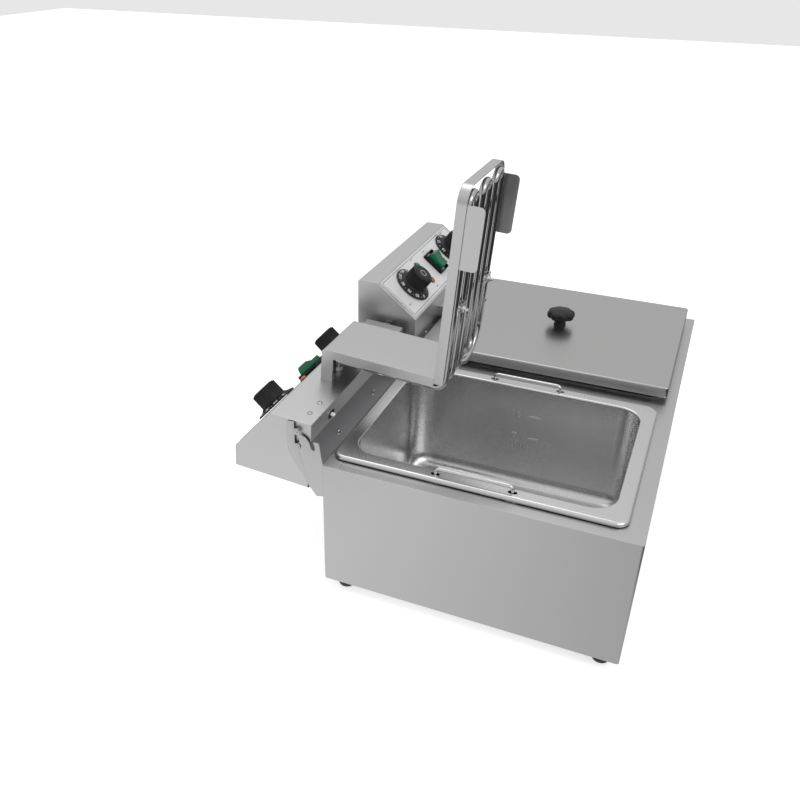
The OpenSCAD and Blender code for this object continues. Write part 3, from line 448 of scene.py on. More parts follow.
# %% [markdown]
# A piece is finished the same way each time: its normals are made to point outwards, a narrow bevel
# softens its edges where light should catch, and faces that meet at a small angle are shaded as one.
# Normals are weighted by area, so that a flat sheet beside a small bend still looks flat. The piece then
# rides on its part of the fryer, and stands for the frame's own plainer solids.

# %% Piece helpers
EDGE_ANGLE = 30


def plain_mesh(obj):
    depsgraph = bpy.context.evaluated_depsgraph_get()
    return bpy.data.meshes.new_from_object(obj.evaluated_get(depsgraph), depsgraph=depsgraph)


def bake_modifiers(obj):
    mesh = plain_mesh(obj)
    obj.modifiers.clear()
    obj.data = mesh


def soften(obj, bevel, segments):
    if bevel:
        edge = obj.modifiers.new("edge", "BEVEL")
        edge.width = bevel * MM
        edge.segments = segments
        edge.limit_method = "ANGLE"
        edge.angle_limit = math.radians(EDGE_ANGLE)
        edge.use_clamp_overlap = False
        bake_modifiers(obj)


def shade(obj, angle):
    obj.data.shade_smooth()
    obj.data.set_sharp_from_angle(angle=math.radians(angle))
    even = obj.modifiers.new("even", "WEIGHTED_NORMAL")
    even.keep_sharp = True
    bake_modifiers(obj)


def raw_object(name, shape, place):
    mesh = bpy.data.meshes.new(name)
    mesh.from_pydata([place @ Vector(v) for v in shape[0]], [], shape[1])
    bm = bmesh.new()
    bm.from_mesh(mesh)
    bmesh.ops.remove_doubles(bm, verts=bm.verts, dist=1e-6)
    bmesh.ops.dissolve_degenerate(bm, dist=1e-7, edges=bm.edges)
    bmesh.ops.recalc_face_normals(bm, faces=bm.faces)
    bm.to_mesh(mesh)
    bm.free()
    return linked(name, mesh)


def cut_away(obj, shape, place):
    cutter = raw_object("cutter", shape, place)
    cut = obj.modifiers.new("cut", "BOOLEAN")
    cut.object = cutter
    cut.operation = "DIFFERENCE"
    bake_modifiers(obj)
    bpy.data.objects.remove(cutter)


def settle(obj, material, body, stands_for=(), angle=35):
    shade(obj, angle)
    obj.data.materials.clear()
    obj.data.materials.append(material)
    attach(obj, body)
    for node in stands_for:
        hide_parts(node)


def piece(name, shape, place, material, body, stands_for=(), bevel=0.0, segments=2, angle=35):
    obj = raw_object(name, shape, place)
    soften(obj, bevel, segments)
    settle(obj, material, body, stands_for, angle)


# %% [markdown]
# Where the frame's own solid already has the right shape, a copy of it is merged and dressed instead.
# The copy can be turned or moved first.

# %% Dressed solids
def dressed(node, material, bevel=0.0, segments=2, dissolve=True, turned=None):
    mesh = frame["nodes"][node].data.copy()
    mesh.name = node + "_dressed"
    if turned:
        mesh.transform(turned)
    bm = bmesh.new()
    bm.from_mesh(mesh)
    bmesh.ops.remove_doubles(bm, verts=bm.verts, dist=2e-6)
    if dissolve:
        bmesh.ops.dissolve_limit(bm, angle_limit=math.radians(0.5), verts=bm.verts, edges=bm.edges)
    bm.to_mesh(mesh)
    bm.free()
    obj = linked(node + "_dressed", mesh)
    soften(obj, bevel, segments)
    settle(obj, material, node_body[node], [node])


print("solids in the frame:", len(frame["nodes"]))

# %% [markdown]
# Geometry Nodes make what follows a path or repeats. Each tree takes a geometry and a few named inputs, and
# ends by making its copies real and setting the material. The tree runs on an object that is only a guide,
# and the result is kept as a plain mesh, because a finished piece carries no modifier.

# %% Geometry trees
def start_tree(name, sockets):
    tree = bpy.data.node_groups.new(name, "GeometryNodeTree")
    face = tree.interface
    face.new_socket("Geometry", in_out="INPUT", socket_type="NodeSocketGeometry")
    keys = {}
    for label, kind in {**sockets, "Finish": "Material"}.items():
        keys[label] = face.new_socket(label, in_out="INPUT", socket_type="NodeSocket" + kind).identifier
    face.new_socket("Geometry", in_out="OUTPUT", socket_type="NodeSocketGeometry")
    return tree, add(tree, "NodeGroupInput").outputs, keys


def end_tree(tree, start, geometry):
    real = add(tree, "GeometryNodeRealizeInstances", {"Geometry": geometry}).outputs["Geometry"]
    painted = add(tree, "GeometryNodeSetMaterial", {"Geometry": real, "Material": start["Finish"]})
    add(tree, "NodeGroupOutput", {0: painted.outputs["Geometry"]})


def grown(name, guide, tree, keys, values):
    modifier = guide.modifiers.new("grow", "NODES")
    modifier.node_group = tree
    for label, value in values.items():
        modifier[keys[label]] = value
    mesh = plain_mesh(guide)
    bpy.data.objects.remove(guide)
    return linked(name, mesh)


print("geometry trees start and end the same way")

# %% [markdown]
# Wires and tubes follow a path: the tree sweeps a circle along a curve and fills its ends. The same tree
# makes the tank handles and the heating tubes. Their route is a list of corners with a bend radius each.

# %% A swept tube
def build_tube_tree():
    tree, start, keys = start_tree("swept_tube", {"Radius": "Float", "Sides": "Int"})
    circle = add(tree, "GeometryNodeCurvePrimitiveCircle",
                 {"Radius": start["Radius"], "Resolution": start["Sides"]}).outputs["Curve"]
    sweep = add(tree, "GeometryNodeCurveToMesh",
                {"Curve": start["Geometry"], "Profile Curve": circle, "Fill Caps": True})
    smooth = add(tree, "GeometryNodeSetShadeSmooth", {"Geometry": sweep.outputs["Mesh"]})
    end_tree(tree, start, smooth.outputs["Geometry"])
    return tree, keys


TUBE_TREE, TUBE_KEYS = build_tube_tree()


def rounded_path(points, radii, steps=10):
    out = [Vector(points[0])]
    for k, r in enumerate(radii, 1):
        centre, a, b = fillet(*neighbours(points, k), r)
        sweep = a.angle(b)
        for i in range(steps + 1):
            t = i / steps
            out.append(centre + (a * math.sin((1 - t) * sweep) + b * math.sin(t * sweep)) / math.sin(sweep))
    out.append(Vector(points[-1]))
    return out


def swept(name, paths, diameter, place, material, body, stands_for=(), sides=20):
    curve = bpy.data.curves.new(name, "CURVE")
    curve.dimensions = "3D"
    for path in paths:
        spline = curve.splines.new("POLY")
        spline.points.add(len(path) - 1)
        for point, where in zip(spline.points, path):
            point.co = (*(place @ Vector(where)), 1)
    values = {"Radius": diameter / 2 * MM, "Sides": sides, "Finish": material}
    tube = grown(name, linked(name + "_path", curve), TUBE_TREE, TUBE_KEYS, values)
    settle(tube, material, body, stands_for, 50)


print("tube tree inputs:", list(TUBE_KEYS))

# %% [markdown]
# Screws repeat all over the fryer. One dome with a cross recess is modelled, and a tree puts a copy on each
# point, turned to the direction stored on that point.

# %% Dome screws
SCREW_D = 8
SCREW_H = 2.4
SCREW_SIDES = 28
RECESS_W, RECESS_DEEP = 1.1, 1.1


def screw_template():
    slopes = [math.radians(d) for d in range(12, 90, 13)]
    profile = [(0.05, SCREW_H)] + [(SCREW_D / 2 * math.sin(a), SCREW_H * math.cos(a) ** 0.8) for a in slopes]
    profile += [(SCREW_D / 2, 0.1), (SCREW_D / 2, -0.2)]
    head = raw_object("screw_template", lathe(profile, SCREW_SIDES), METRES)
    bar = prism_z(round_rect(SCREW_D * 0.55, RECESS_W, 0.3, 2), SCREW_H - RECESS_DEEP, SCREW_H + 1)
    for turn in (0, 90):
        cut_away(head, bar, spin(turn) @ METRES)
    shade(head, 40)
    return head


def build_scatter_tree():
    tree, start, keys = start_tree("set_on_points", {"Piece": "Object", "Size": "Float"})
    screw = add(tree, "GeometryNodeObjectInfo", {"Object": start["Piece"]}).outputs["Geometry"]
    facing = add(tree, "GeometryNodeInputNamedAttribute", data_type="FLOAT_VECTOR")
    facing.inputs["Name"].default_value = "facing"
    turn = add(tree, "FunctionNodeAlignRotationToVector", {"Vector": facing.outputs["Attribute"]}, axis="Z")
    copies = add(tree, "GeometryNodeInstanceOnPoints",
                 {"Points": start["Geometry"], "Instance": screw, "Rotation": turn.outputs["Rotation"],
                  "Scale": start["Size"]})
    end_tree(tree, start, copies.outputs["Instances"])
    return tree, keys


SCATTER_TREE, SCATTER_KEYS = build_scatter_tree()
SCREW = screw_template()


def screws(name, spots, place, size, body, stands_for=()):
    mesh = bpy.data.meshes.new(name + "_points")
    mesh.from_pydata([place @ Vector(p) for p, _ in spots], [], [])
    facing = mesh.attributes.new("facing", "FLOAT_VECTOR", "POINT")
    turned = place.to_3x3().normalized()
    for k, (_, direction) in enumerate(spots):
        facing.data[k].vector = turned @ Vector(direction)
    values = {"Piece": SCREW, "Size": size, "Finish": plate_steel}
    copies = grown(name, linked(name + "_points", mesh), SCATTER_TREE, SCATTER_KEYS, values)
    settle(copies, plate_steel, body, stands_for, 40)


print("screw template:", len(SCREW.data.polygons), "faces")

# %% [markdown]
# Numbers on the dials are plain figures. Blender's own letter outlines are turned into a thin mesh first,
# so that their place can be part of the mesh, as it is for every other piece.

# %% Figures and marks
PRINT_T = 0.12


def figure(text, size, thick):
    curve = bpy.data.curves.new("figure", "FONT")
    curve.body = text
    curve.size = size
    curve.align_x = "CENTER"
    curve.align_y = "CENTER"
    curve.extrude = thick / 2
    curve.resolution_u = 3
    obj = linked("figure", curve)
    mesh = plain_mesh(obj)
    bpy.data.objects.remove(obj)
    return [tuple(v.co) for v in mesh.vertices], [tuple(p.vertices) for p in mesh.polygons]


def bar_mark(w, l, thick=PRINT_T):
    return prism_z(round_rect(w, l, min(w, l) * 0.4, 3), -thick / 2, thick / 2)


print("figure 90:", len(figure("90", 4, PRINT_T)[0]), "points")

# %% [markdown]
# The cabinet is folded from thin sheet. Its solids in the frame already have the right bends and openings,
# so they are dressed with a narrow bevel that catches a line of light along each fold.

# %% Cabinet
SHEET_EDGE = 0.35
BRACKET_SCREWS = [(x, 1.2, z) for x in (-134, 134) for z in (-14, -38)]

dressed("casing_shell", case_steel, SHEET_EDGE, dissolve=False)
dressed("back_panel", case_steel, SHEET_EDGE, dissolve=False)
dressed("base_panel", dull_steel, SHEET_EDGE)
dressed("hinge_brackets", plate_steel, 0.3, dissolve=False)
spots = []
for side in SIDES:
    offset = Vector(((side - 0.5) * PITCH, 0, 0))
    spots += [(Vector(p) + offset, (0, 1, 0)) for p in BRACKET_SCREWS]
screws("bracket_screws", spots, shift(0, BACK_Y, TOP_Z) @ METRES, 1, "cabinet", ["case_screws"])

# %% [markdown]
# The feet are turned rubber buffers with a chamfered sole.

# %% Feet
FOOT_R = 12
FOOT_H = 18


def foot_shape():
    profile = [(0.1, 0), (FOOT_R - 3, 0), (FOOT_R - 2, 0.4), (FOOT_R - 0.4, FOOT_H / 4)]
    profile += [(FOOT_R, FOOT_H / 4 + 1), (FOOT_R, FOOT_H - 0.6), (FOOT_R - 0.5, FOOT_H - 0.1)]
    return lathe(profile + [(0.1, FOOT_H - 0.1)], 40)


foot_low, foot_high = (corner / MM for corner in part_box("rubber_feet"))
feet = [moved(foot_shape(), shift(x, y))
        for x in (foot_low.x + FOOT_R, foot_high.x - FOOT_R)
        for y in (foot_low.y + FOOT_R, foot_high.y - FOOT_R)]
piece("feet", joined(*feet), METRES, foot_rubber, "cabinet", ["rubber_feet"])
print("feet:", len(feet))

# %% [markdown]
# A tank is one drawn pan. Its rim curls under at the outside, runs level to the mouth, turns over a small
# radius and falls to a floor with round corners. All of these are rounded rectangles of different size,
# corner and height, so the pan is a loft through such rings with a wall added to it.

# %% Tanks
RIM_W, RIM_L, RIM_H, RIM_ROLL, RIM_CORNER = 277, 352, 6.5, 4, 16
RIM_CURL = ((2.4, 1.1), (1.2, 0.9), (0.5, 1.2), (0.1, 1.8))
MOUTH_W, MOUTH_L, MOUTH_CORNER = 237, 314, 30
TANK_DEPTH, TANK_WALL = 158, 0.9
FLOOR_R = 18
LIP_R = 2.5
TANK_Y = -3 - RIM_L / 2
BAIL_X = MOUTH_W / 2 + 9
BAIL_W = 92
BAIL_WIRE = 4.5
BAIL_SLOT_L = 11


def pan_ring(w, l, inset, corner, z):
    return at_height(round_rect(w - 2 * inset, l - 2 * inset, corner, 12, 0, TANK_Y), z)


def quarter(r, steps):
    """How far a quarter bend of radius r has gone sideways and up, for each of its steps."""
    turns = [math.radians(90 * k / steps) for k in range(steps + 1)]
    return [(r * (1 - math.cos(a)), r * (1 - math.sin(a))) for a in turns]


def tank_shape():
    floor_z = RIM_H - TANK_DEPTH
    rings = [pan_ring(RIM_W, RIM_L, d, RIM_CORNER - d, z) for d, z in RIM_CURL]
    rings += [pan_ring(RIM_W, RIM_L, d, RIM_CORNER - d * 0.7, RIM_H - z) for d, z in quarter(RIM_ROLL, 8)]
    rings += [pan_ring(MOUTH_W, MOUTH_L, -d, MOUTH_CORNER + d, RIM_H - z) for z, d in quarter(LIP_R, 5)]
    rings += [pan_ring(MOUTH_W, MOUTH_L, d, MOUTH_CORNER - d * 0.6, floor_z + z)
              for d, z in quarter(FLOOR_R, 8)]
    return loft(rings, False, True)


def bail_slots():
    slots = []
    for sx in (-1, 1):
        for sy in (-1, 1):
            slot = round_rect(BAIL_WIRE + 0.8, BAIL_SLOT_L, 2.2, 4, sx * BAIL_X, TANK_Y + sy * BAIL_W / 2)
            slots.append(prism_z(slot, 2, 12))
    return joined(*slots)


def make_tank(side):
    tank = raw_object(SIDES[side] + "_tank_pan", tank_shape(), at_unit(side))
    wall = tank.modifiers.new("wall", "SOLIDIFY")
    wall.thickness = TANK_WALL * MM
    wall.offset = -1
    cut_away(tank, bail_slots(), at_unit(side))
    settle(tank, tank_steel, "cabinet", [SIDES[side] + "_tank"], 40)


for side in SIDES:
    make_tank(side)
print("tank rings:", len(tank_shape()[0]) // len(round_rect(1, 1, 0, 12)))

# %% [markdown]
# Two level marks are pressed into the right-hand wall of each tank: a short bar and a plain figure of
# litres beside it. They stand a little proud of the wall. Their steel is lighter than the wall's own: the
# lighter tone is a painted highlight, for the light that the pressed marks catch.

# %% Level marks
LEVELS = ((-37.5, "10"), (-73, "7"))
MARK_Y = -197
FIGURE_GAP = 27
FIGURE_SIZE, FIGURE_T = 15, 1.2


def level_marks(side):
    wall = at_unit(side) @ shift(MOUTH_W / 2 - 0.3) @ spin(-90, "Y") @ spin(-90)
    shapes = []
    for z, text in LEVELS:
        shapes.append(prism_z(round_rect(16, 2.6, 1.2, 4, -MARK_Y, z), -0.4, 0.6))
        shapes.append(moved(figure(text, FIGURE_SIZE, FIGURE_T), shift(-MARK_Y - FIGURE_GAP, z)))
    # The marks' lighter steel is a painted highlight.
    piece(SIDES[side] + "_level_marks", joined(*shapes), wall, mark_steel_painted_highlight, "cabinet")


for side in SIDES:
    level_marks(side)
print("level marks:", len(LEVELS), "per tank")

# %% [markdown]
# The tank handles are bows of bright wire. Their legs pass through the rim's slots and end in hooks.

# %% Tank handles
BAIL_DROP = 8
BAIL_LIFT = 26
BAIL_HOOK = 8.5
BAR_Z = RIM_H + BAIL_DROP
HOOK_Z = RIM_H - 1 - BAIL_WIRE / 2 - 0.3 - BAIL_LIFT


def make_bail(side, hand, name):
    legs = [(-BAIL_W / 2 - BAIL_HOOK, HOOK_Z), (-BAIL_W / 2, HOOK_Z), (-BAIL_W / 2, BAR_Z)]
    legs += [(-y, z) for y, z in reversed(legs)]
    path = rounded_path([(hand * BAIL_X, TANK_Y + y, z) for y, z in legs], [2.4, 5.4, 5.4, 2.4])
    swept(name + "_wire", [path], BAIL_WIRE, at_unit(side), bright_wire, node_body[name], [name])


for side, word in SIDES.items():
    make_bail(side, -1, word + "_tank_near_bail")
    make_bail(side, 1, word + "_tank_far_bail")
print("handle bar at", BAR_Z, "mm, hooks at", round(HOOK_Z, 2))

# %% [markdown]
# The lid is a shallow pan turned upside down, with a notch at its back for the riser cover. Its outline is
# one closed line, and the rolled edge and the skirt are offsets of it. The notch's corners are rounder than
# the rolled edge is wide, so that no offset crosses itself. Three flat hems rest on the rim.

# %% Lid
LID_W, LID_L, LID_H, LID_T, LID_BACK = 296, 357, 15, 1, 4.5
LID_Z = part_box("right_lid")[0].z / MM - TOP_Z / MM
NOTCH_W = 104
NOTCH_D = 50
LID_EDGE = 2.2
LID_WALL = 0.9
LID_HEM = 20


def lid_outline():
    front, back = -LID_BACK - LID_L, -LID_BACK
    half = [(LID_W / 2, front), (LID_W / 2, back), (NOTCH_W / 2, back), (NOTCH_W / 2, -NOTCH_D)]
    mirrored = [(-x, y) for x, y in half]
    points = [mirrored[1], mirrored[0]] + half + [mirrored[3], mirrored[2]]
    return round_corners(points, [5, 5, 5, 5, 2.8, 3, 3, 2.8], 6)


def lid_ring(d, z):
    return at_height(offset_outline(lid_outline(), d), LID_Z + z)


def lid_shape():
    low = lid_ring(-LID_WALL, 0)
    rings = [low, lid_ring(0, 0), lid_ring(0, LID_H - LID_EDGE)]
    rings += [lid_ring(-d, LID_H - z) for d, z in quarter(LID_EDGE, 6)[1:]]
    inner = [low, lid_ring(-LID_WALL, LID_H - LID_EDGE), lid_ring(-LID_EDGE, LID_H - LID_T)]
    under, under_faces = loft(inner, False, True)
    return joined(loft(rings, False, True), (under, [tuple(reversed(f)) for f in under_faces]))


def lid_hem(w, x, y):
    return prism_z(round_rect(w, LID_HEM, 1, 2, x, y), LID_Z, LID_Z + LID_WALL)


piece("lid_pan", lid_shape(), at_unit(RIGHT), lid_steel, "right_lid_assembly", ["right_lid"], angle=30)
hems = [lid_hem(LID_W - 2.4, 0, -LID_BACK - LID_L + LID_HEM / 2 + 1)]
back_hem_w = (LID_W - NOTCH_W) / 2 - 2.4
for sx in (-1, 1):
    hems.append(lid_hem(back_hem_w, sx * (NOTCH_W / 2 + back_hem_w / 2 + 1.2), -LID_BACK - LID_HEM / 2 - 1))
piece("lid_hems", joined(*hems), at_unit(RIGHT), lid_steel, "right_lid_assembly")
print("lid outline:", len(lid_outline()), "points")

# %% [markdown]
# The lid's knob is a black mushroom with eight finger hollows round its cap. The cap is a turned profile
# whose radius dips in a wave, which is how the mould for such a star knob is drawn.

# %% Lid knob
LID_MID = -LID_BACK - LID_L / 2
HOLLOWS, HOLLOW_DEEP = 8, 2.4
STAR_STEPS = 96


def star_ring(r, z):
    depth = max(0.0, min(1.0, (z - 8) / 4)) * (1 if z < 22 else 0.4)
    points = []
    for i in range(STAR_STEPS):
        a = 2 * math.pi * i / STAR_STEPS
        wave = (0.5 + 0.5 * math.cos(HOLLOWS * a)) ** 2
        dip = HOLLOW_DEEP * depth * wave * min(1, r / 16)
        points.append(((r - dip) * math.cos(a), (r - dip) * math.sin(a), z))
    return points


def star_knob():
    profile = [(0.1, 0), (9.2, 0), (9.4, 0.8), (8.8, 2), (8.6, 6), (9.6, 8), (14.5, 10.4), (19.6, 12.4)]
    profile += [(20.8, 14), (21, 16), (20.8, 19.5), (19.6, 21.6), (16, 23.4), (9, 24.5), (0.1, 24.8)]
    return loft([star_ring(r, z) for r, z in profile])


knob_place = at_unit(RIGHT) @ shift(0, LID_MID, LID_Z + LID_H)
piece("lid_knob_cap", star_knob(), knob_place, knob_black, "right_lid_assembly", ["lid_knob"], angle=50)
dressed("lid_screw", plate_steel, 0.2)
print("lid knob with", HOLLOWS, "hollows")

# %% [markdown]
# A control head is one folded housing. Seen from its side it has an upright front, a sloping panel, a
# short flat top and an upright back. The profile's folds get a bend radius and the ends a fine bevel.
# Underneath, a strip along the front stays at the sheet's level and the rest is recessed for the cover.

# %% Head housings
HEAD_W, HEAD_LOW, HEAD_TOP = 300, 1, 105
HEAD_FRONT, HEAD_BACK = 1.5, 93.5
FOLD_Y, FOLD_LOW = 63.5, 57
FOLD_R = 1.6
SLOPE = math.atan2(HEAD_TOP - FOLD_LOW, FOLD_Y - HEAD_FRONT)
SLOPE_L = math.hypot(HEAD_TOP - FOLD_LOW, FOLD_Y - HEAD_FRONT)
UNDER = 24
COVER_T = 1.1


def housing_shape():
    recess = HEAD_LOW + COVER_T
    points = [(HEAD_FRONT, HEAD_LOW), (HEAD_FRONT, FOLD_LOW), (FOLD_Y, HEAD_TOP), (HEAD_BACK, HEAD_TOP),
              (HEAD_BACK, HEAD_LOW), (HEAD_BACK - 1, HEAD_LOW), (HEAD_BACK - 1, recess),
              (HEAD_FRONT + UNDER, recess), (HEAD_FRONT + UNDER, HEAD_LOW)]
    return prism_x(round_corners(points, [FOLD_R] * 4 + [0] * 4 + [0.3]), -HEAD_W / 2, HEAD_W / 2)


def at_panel(side, x, u, h=0.0):
    fold = shift(x - HEAD_W / 2, FOLD_Y, HEAD_TOP) @ Matrix.Rotation(SLOPE, 4, "X")
    return at_head(side) @ fold @ shift(0, -u, h)


def on_head(side, name, shape, material, stands_for=(), place=None, **edges):
    word = SIDES[side]
    nodes = [word + node for node in stands_for]
    piece(word + name, shape, place or at_head(side), material, word + "_head", nodes, **edges)


for side, word in SIDES.items():
    on_head(side, "_housing", housing_shape(), head_steel, ["_head_housing"], bevel=0.5, segments=3)
    dressed(word + "_bottom_cover", dull_steel, 0.3)
print("panel slope", round(math.degrees(SLOPE), 1), "degrees,", round(SLOPE_L, 1), "mm long")

# %% [markdown]
# Small parts of the heads: two dome screws low on the front, two through the bottom cover, a dark oval of
# painted shade on the bottom face round the safety plunger, standing for the shadow in its hole, hinge
# pins, glands and the parts inside, which show only if a cover comes off.

# %% Head fittings
FRONT_SCREWS = [((x, HEAD_FRONT, 15), (0, -1, 0)) for x in (-126, -99)]
FRONT_SCREW_SIZE = 0.85
COVER_SCREWS = [((x, HEAD_FRONT + 57, HEAD_LOW), (0, 0, -1)) for x in (-66, 48)]
PLUNGER_X, PLUNGER_Y = -93, HEAD_FRONT + 15
FITTINGS = (("switch_plunger", plunger_white, 0.3), ("hinge_pins", plate_steel, 0.3),
            ("cable_gland", knob_black, 0.5), ("safety_switch", switch_black, 0.4),
            ("thermostat_body", control_resin, 0.5), ("timer_body", control_resin, 0.5))

for side, word in SIDES.items():
    body = word + "_head"
    screws(word + "_front_screws", FRONT_SCREWS, at_head(side), FRONT_SCREW_SIZE, body)
    screws(word + "_cover_screws", COVER_SCREWS, at_head(side), 1, body, [word + "_head_screws"])
    # A thin dark plate of painted shade stands for the shadowed hole round the plunger; the housing is not
    # cut.
    oval = prism_z(round_rect(18, 10, 4.9, 6, PLUNGER_X, PLUNGER_Y), HEAD_LOW - 0.15, HEAD_LOW + 0.3)
    on_head(side, "_plunger_hole", oval, plunger_hole_painted_shade)
    for node, finish, bevel in FITTINGS:
        dressed(word + "_" + node, finish, bevel)
print("fittings per head:", len(FITTINGS))

# %% [markdown]
# The control panel is a thin silver foil on the slope with a fine printed line round it. A few short bars
# stand where such panels carry their markings.

# %% Control panels
KNOB_U = 38.5
THERMOSTAT_X, TIMER_X, SWITCH_X, LAMP_X = 67, 245, 172.5, 123
FOIL_W, FOIL_L = HEAD_W - 14, SLOPE_L - 7
FOIL_H = 0.4
LINE_W, LINE_INSET = 0.7, 2.5
POINTER_U = 5.6
PANEL_BARS = ((22, 57, 9), (LAMP_X, 9, 8), (SWITCH_X, 12, 8), (LAMP_X, 67, 8), (266, 9, 9))


def panel_print():
    w, l = FOIL_W - 2 * LINE_INSET, FOIL_L - 2 * LINE_INSET
    outer = round_rect(w, l, LINE_INSET, 6)
    inner = round_rect(w - 2 * LINE_W, l - 2 * LINE_W, LINE_INSET - LINE_W, 6)
    marks = [wall_between(outer, inner, FOIL_H - 0.05, FOIL_H + 0.06)]
    bars = [(x, POINTER_U, 0.9, 4) for x in (THERMOSTAT_X, TIMER_X)]
    bars += [(x, u, w, 1.0) for x, u, w in PANEL_BARS]
    for x, u, w, l in bars:
        marks.append(moved(bar_mark(w, l), shift(x - HEAD_W / 2, SLOPE_L / 2 - u, FOIL_H)))
    return joined(*marks)


for side in SIDES:
    middle = at_panel(side, HEAD_W / 2, SLOPE_L / 2)
    foil = prism_z(round_rect(FOIL_W, FOIL_L, 3), 0, FOIL_H)
    on_head(side, "_panel_foil", foil, panel_foil, ["_panel_plate"], middle, bevel=0.12)
    on_head(side, "_panel_print", panel_print(), print_blue, place=middle)
print("foil", round(FOIL_W), "x", round(FOIL_L), "mm")

# %% [markdown]
# A knob has a wide low skirt that carries the figures, and a tall grip with ribs. The ribs repeat round a
# circle, so a tree sets them: a circle of points and a slightly tapered bar on each.

# %% Knob ribs
GRIP_R = 18.25
KNOB_H = 27.5
SKIRT_R, SKIRT_H = 30, 5.5
RIBS, RIB_SIDES, RIB_TAPER = 30, 10, 0.75
RIB_SIZE = {"Ring Radius": GRIP_R - 1.2, "Rib Radius": 1.35, "Rib Height": KNOB_H - 1.8}


def build_rib_tree():
    tree, start, keys = start_tree("rib_ring", {"Count": "Int", **{label: "Float" for label in RIB_SIZE}})
    circle = add(tree, "GeometryNodeMeshCircle",
                 {"Vertices": start["Count"], "Radius": start["Ring Radius"]}).outputs["Mesh"]
    rib = add(tree, "GeometryNodeMeshCone",
              {"Vertices": RIB_SIDES, "Radius Bottom": start["Rib Radius"], "Depth": start["Rib Height"],
               "Radius Top": combine(tree, "MULTIPLY", start["Rib Radius"], RIB_TAPER)}).outputs["Mesh"]
    copies = add(tree, "GeometryNodeInstanceOnPoints", {"Points": circle, "Instance": rib})
    join = add(tree, "GeometryNodeJoinGeometry")
    tree.links.new(copies.outputs["Instances"], join.inputs["Geometry"])
    tree.links.new(start["Geometry"], join.inputs["Geometry"])
    end_tree(tree, start, join.outputs["Geometry"])
    return tree, keys


RIB_TREE, RIB_KEYS = build_rib_tree()


def knob_shape():
    profile = [(0.1, 0), (SKIRT_R - 0.4, 0), (SKIRT_R, 0.5), (SKIRT_R - 0.1, 1.3), (SKIRT_R - 1.2, 1.9)]
    profile += [(GRIP_R + 3.4, 4.2), (GRIP_R + 1.6, SKIRT_H), (GRIP_R - 0.2, SKIRT_H + 1.2)]
    profile += [(GRIP_R - 1.6, KNOB_H - 3), (GRIP_R - 2.2, KNOB_H - 1.2), (GRIP_R - 3.6, KNOB_H - 0.3)]
    profile += [(12.6, KNOB_H), (12.3, KNOB_H - 0.8), (0.1, KNOB_H - 0.8)]
    return lathe(profile, 96)


def ribbed(name, place, material, body, stands_for):
    guide = raw_object(name + "_core", knob_shape(), METRES)
    sizes = {label: size * MM for label, size in RIB_SIZE.items()}
    obj = grown(name, guide, RIB_TREE, RIB_KEYS, {"Count": RIBS, **sizes, "Finish": material})
    obj.data.transform(place @ Matrix.Scale(1 / MM, 4))
    settle(obj, material, body, stands_for, 42)


print("ribs per knob:", RIBS)

# %% [markdown]
# The figures on a skirt run round it like the hours on a clock: degrees on the thermostat, minutes on the
# timer. They are read against a short bar on the panel. The cap carries a round plate and a thin ring.

# %% Knobs
KNOB_LIFT = 1.2
DEGREES = ("0", "50", "70", "90", "110", "130", "150", "170", "190")
MINUTES = ("0", "5", "10", "15", "20", "25", "30")
DIALS = (("thermostat", THERMOSTAT_X, DEGREES, 7.0, switch_black),
         ("timer", TIMER_X, MINUTES, 7.4, plate_steel))
DIAL_START, DIAL_SPAN = 165, 300
DIAL_T = 0.2
SKIRT_TILT = math.atan2(4.2 - 1.9, SKIRT_R - 1.2 - GRIP_R - 3.4)
SKIRT_MID = (SKIRT_R - 1.2 + GRIP_R + 3.4) / 2


def on_skirt(degrees, r, z):
    return spin(degrees) @ shift(0, r, z) @ Matrix.Rotation(-SKIRT_TILT, 4, "X")


def dial_marks(texts, size):
    shapes = []
    step = DIAL_SPAN / len(texts)
    for k, text in enumerate(texts):
        turn = DIAL_START - step * k
        shapes.append(moved(figure(text, size, DIAL_T), on_skirt(turn, SKIRT_MID - 0.3, 3.15)))
        shapes.append(moved(bar_mark(0.5, 1.4, DIAL_T), on_skirt(turn - step / 2, SKIRT_MID + 1.5, 2.65)))
    return joined(*shapes)


def cap_ring():
    low, top = KNOB_H - 0.2, KNOB_H + 0.1
    return turned_ring([(5.2, low), (5.2, top), (4.7, top), (4.7, low)], 64)


def badge():
    low = KNOB_H - 0.8
    return lathe([(0.1, low), (12, low), (12, KNOB_H - 0.3), (11.4, KNOB_H - 0.1), (0.1, KNOB_H + 0.15)], 64)


for side, word in SIDES.items():
    for kind, x, texts, size, badge_finish in DIALS:
        node = word + "_" + kind + "_knob"
        body = node_body[node]
        place = at_panel(side, x, KNOB_U, FOIL_H + KNOB_LIFT)
        ribbed(node + "_grip", place, knob_black, body, [node])
        piece(node + "_figures", dial_marks(texts, size), place, print_white, body)
        piece(node + "_cap_ring", cap_ring(), place, print_white, body)
        piece(node + "_badge", badge(), place, badge_finish, body)
print("figures per dial:", len(DEGREES), "and", len(MINUTES))

# %% [markdown]
# The rocker is a translucent green moulding with a hollow across its middle, in a black frame with a raised
# bezel. It is a little smaller than the solid one, so that it clears the frame when it is pressed. The
# lamps are small domes in the same glossy plastic, each in a thin black collar.

# %% Switches and lamps
BEZEL_W, BEZEL_L, BEZEL_H, BEZEL_WALL = 30, 40, 7, 1.3
ROCKER_LIFT = 3.5
ROCKER_FIT = Matrix.Diagonal((0.95, 0.90, 1, 1))
LAMPS = (("_green_lamp", lens_green, 22), ("_orange_lamp", lens_orange, 54))
DOME = [(0.1, 4.2), (1.6, 4.1), (3.2, 3.5), (4.5, 2.5), (5.1, 1.2), (5.2, 0), (0.1, 0)]
COLLAR = [(6, 0), (6, 0.9), (5.7, 1.3), (5.3, 1.3), (5.3, 0)]


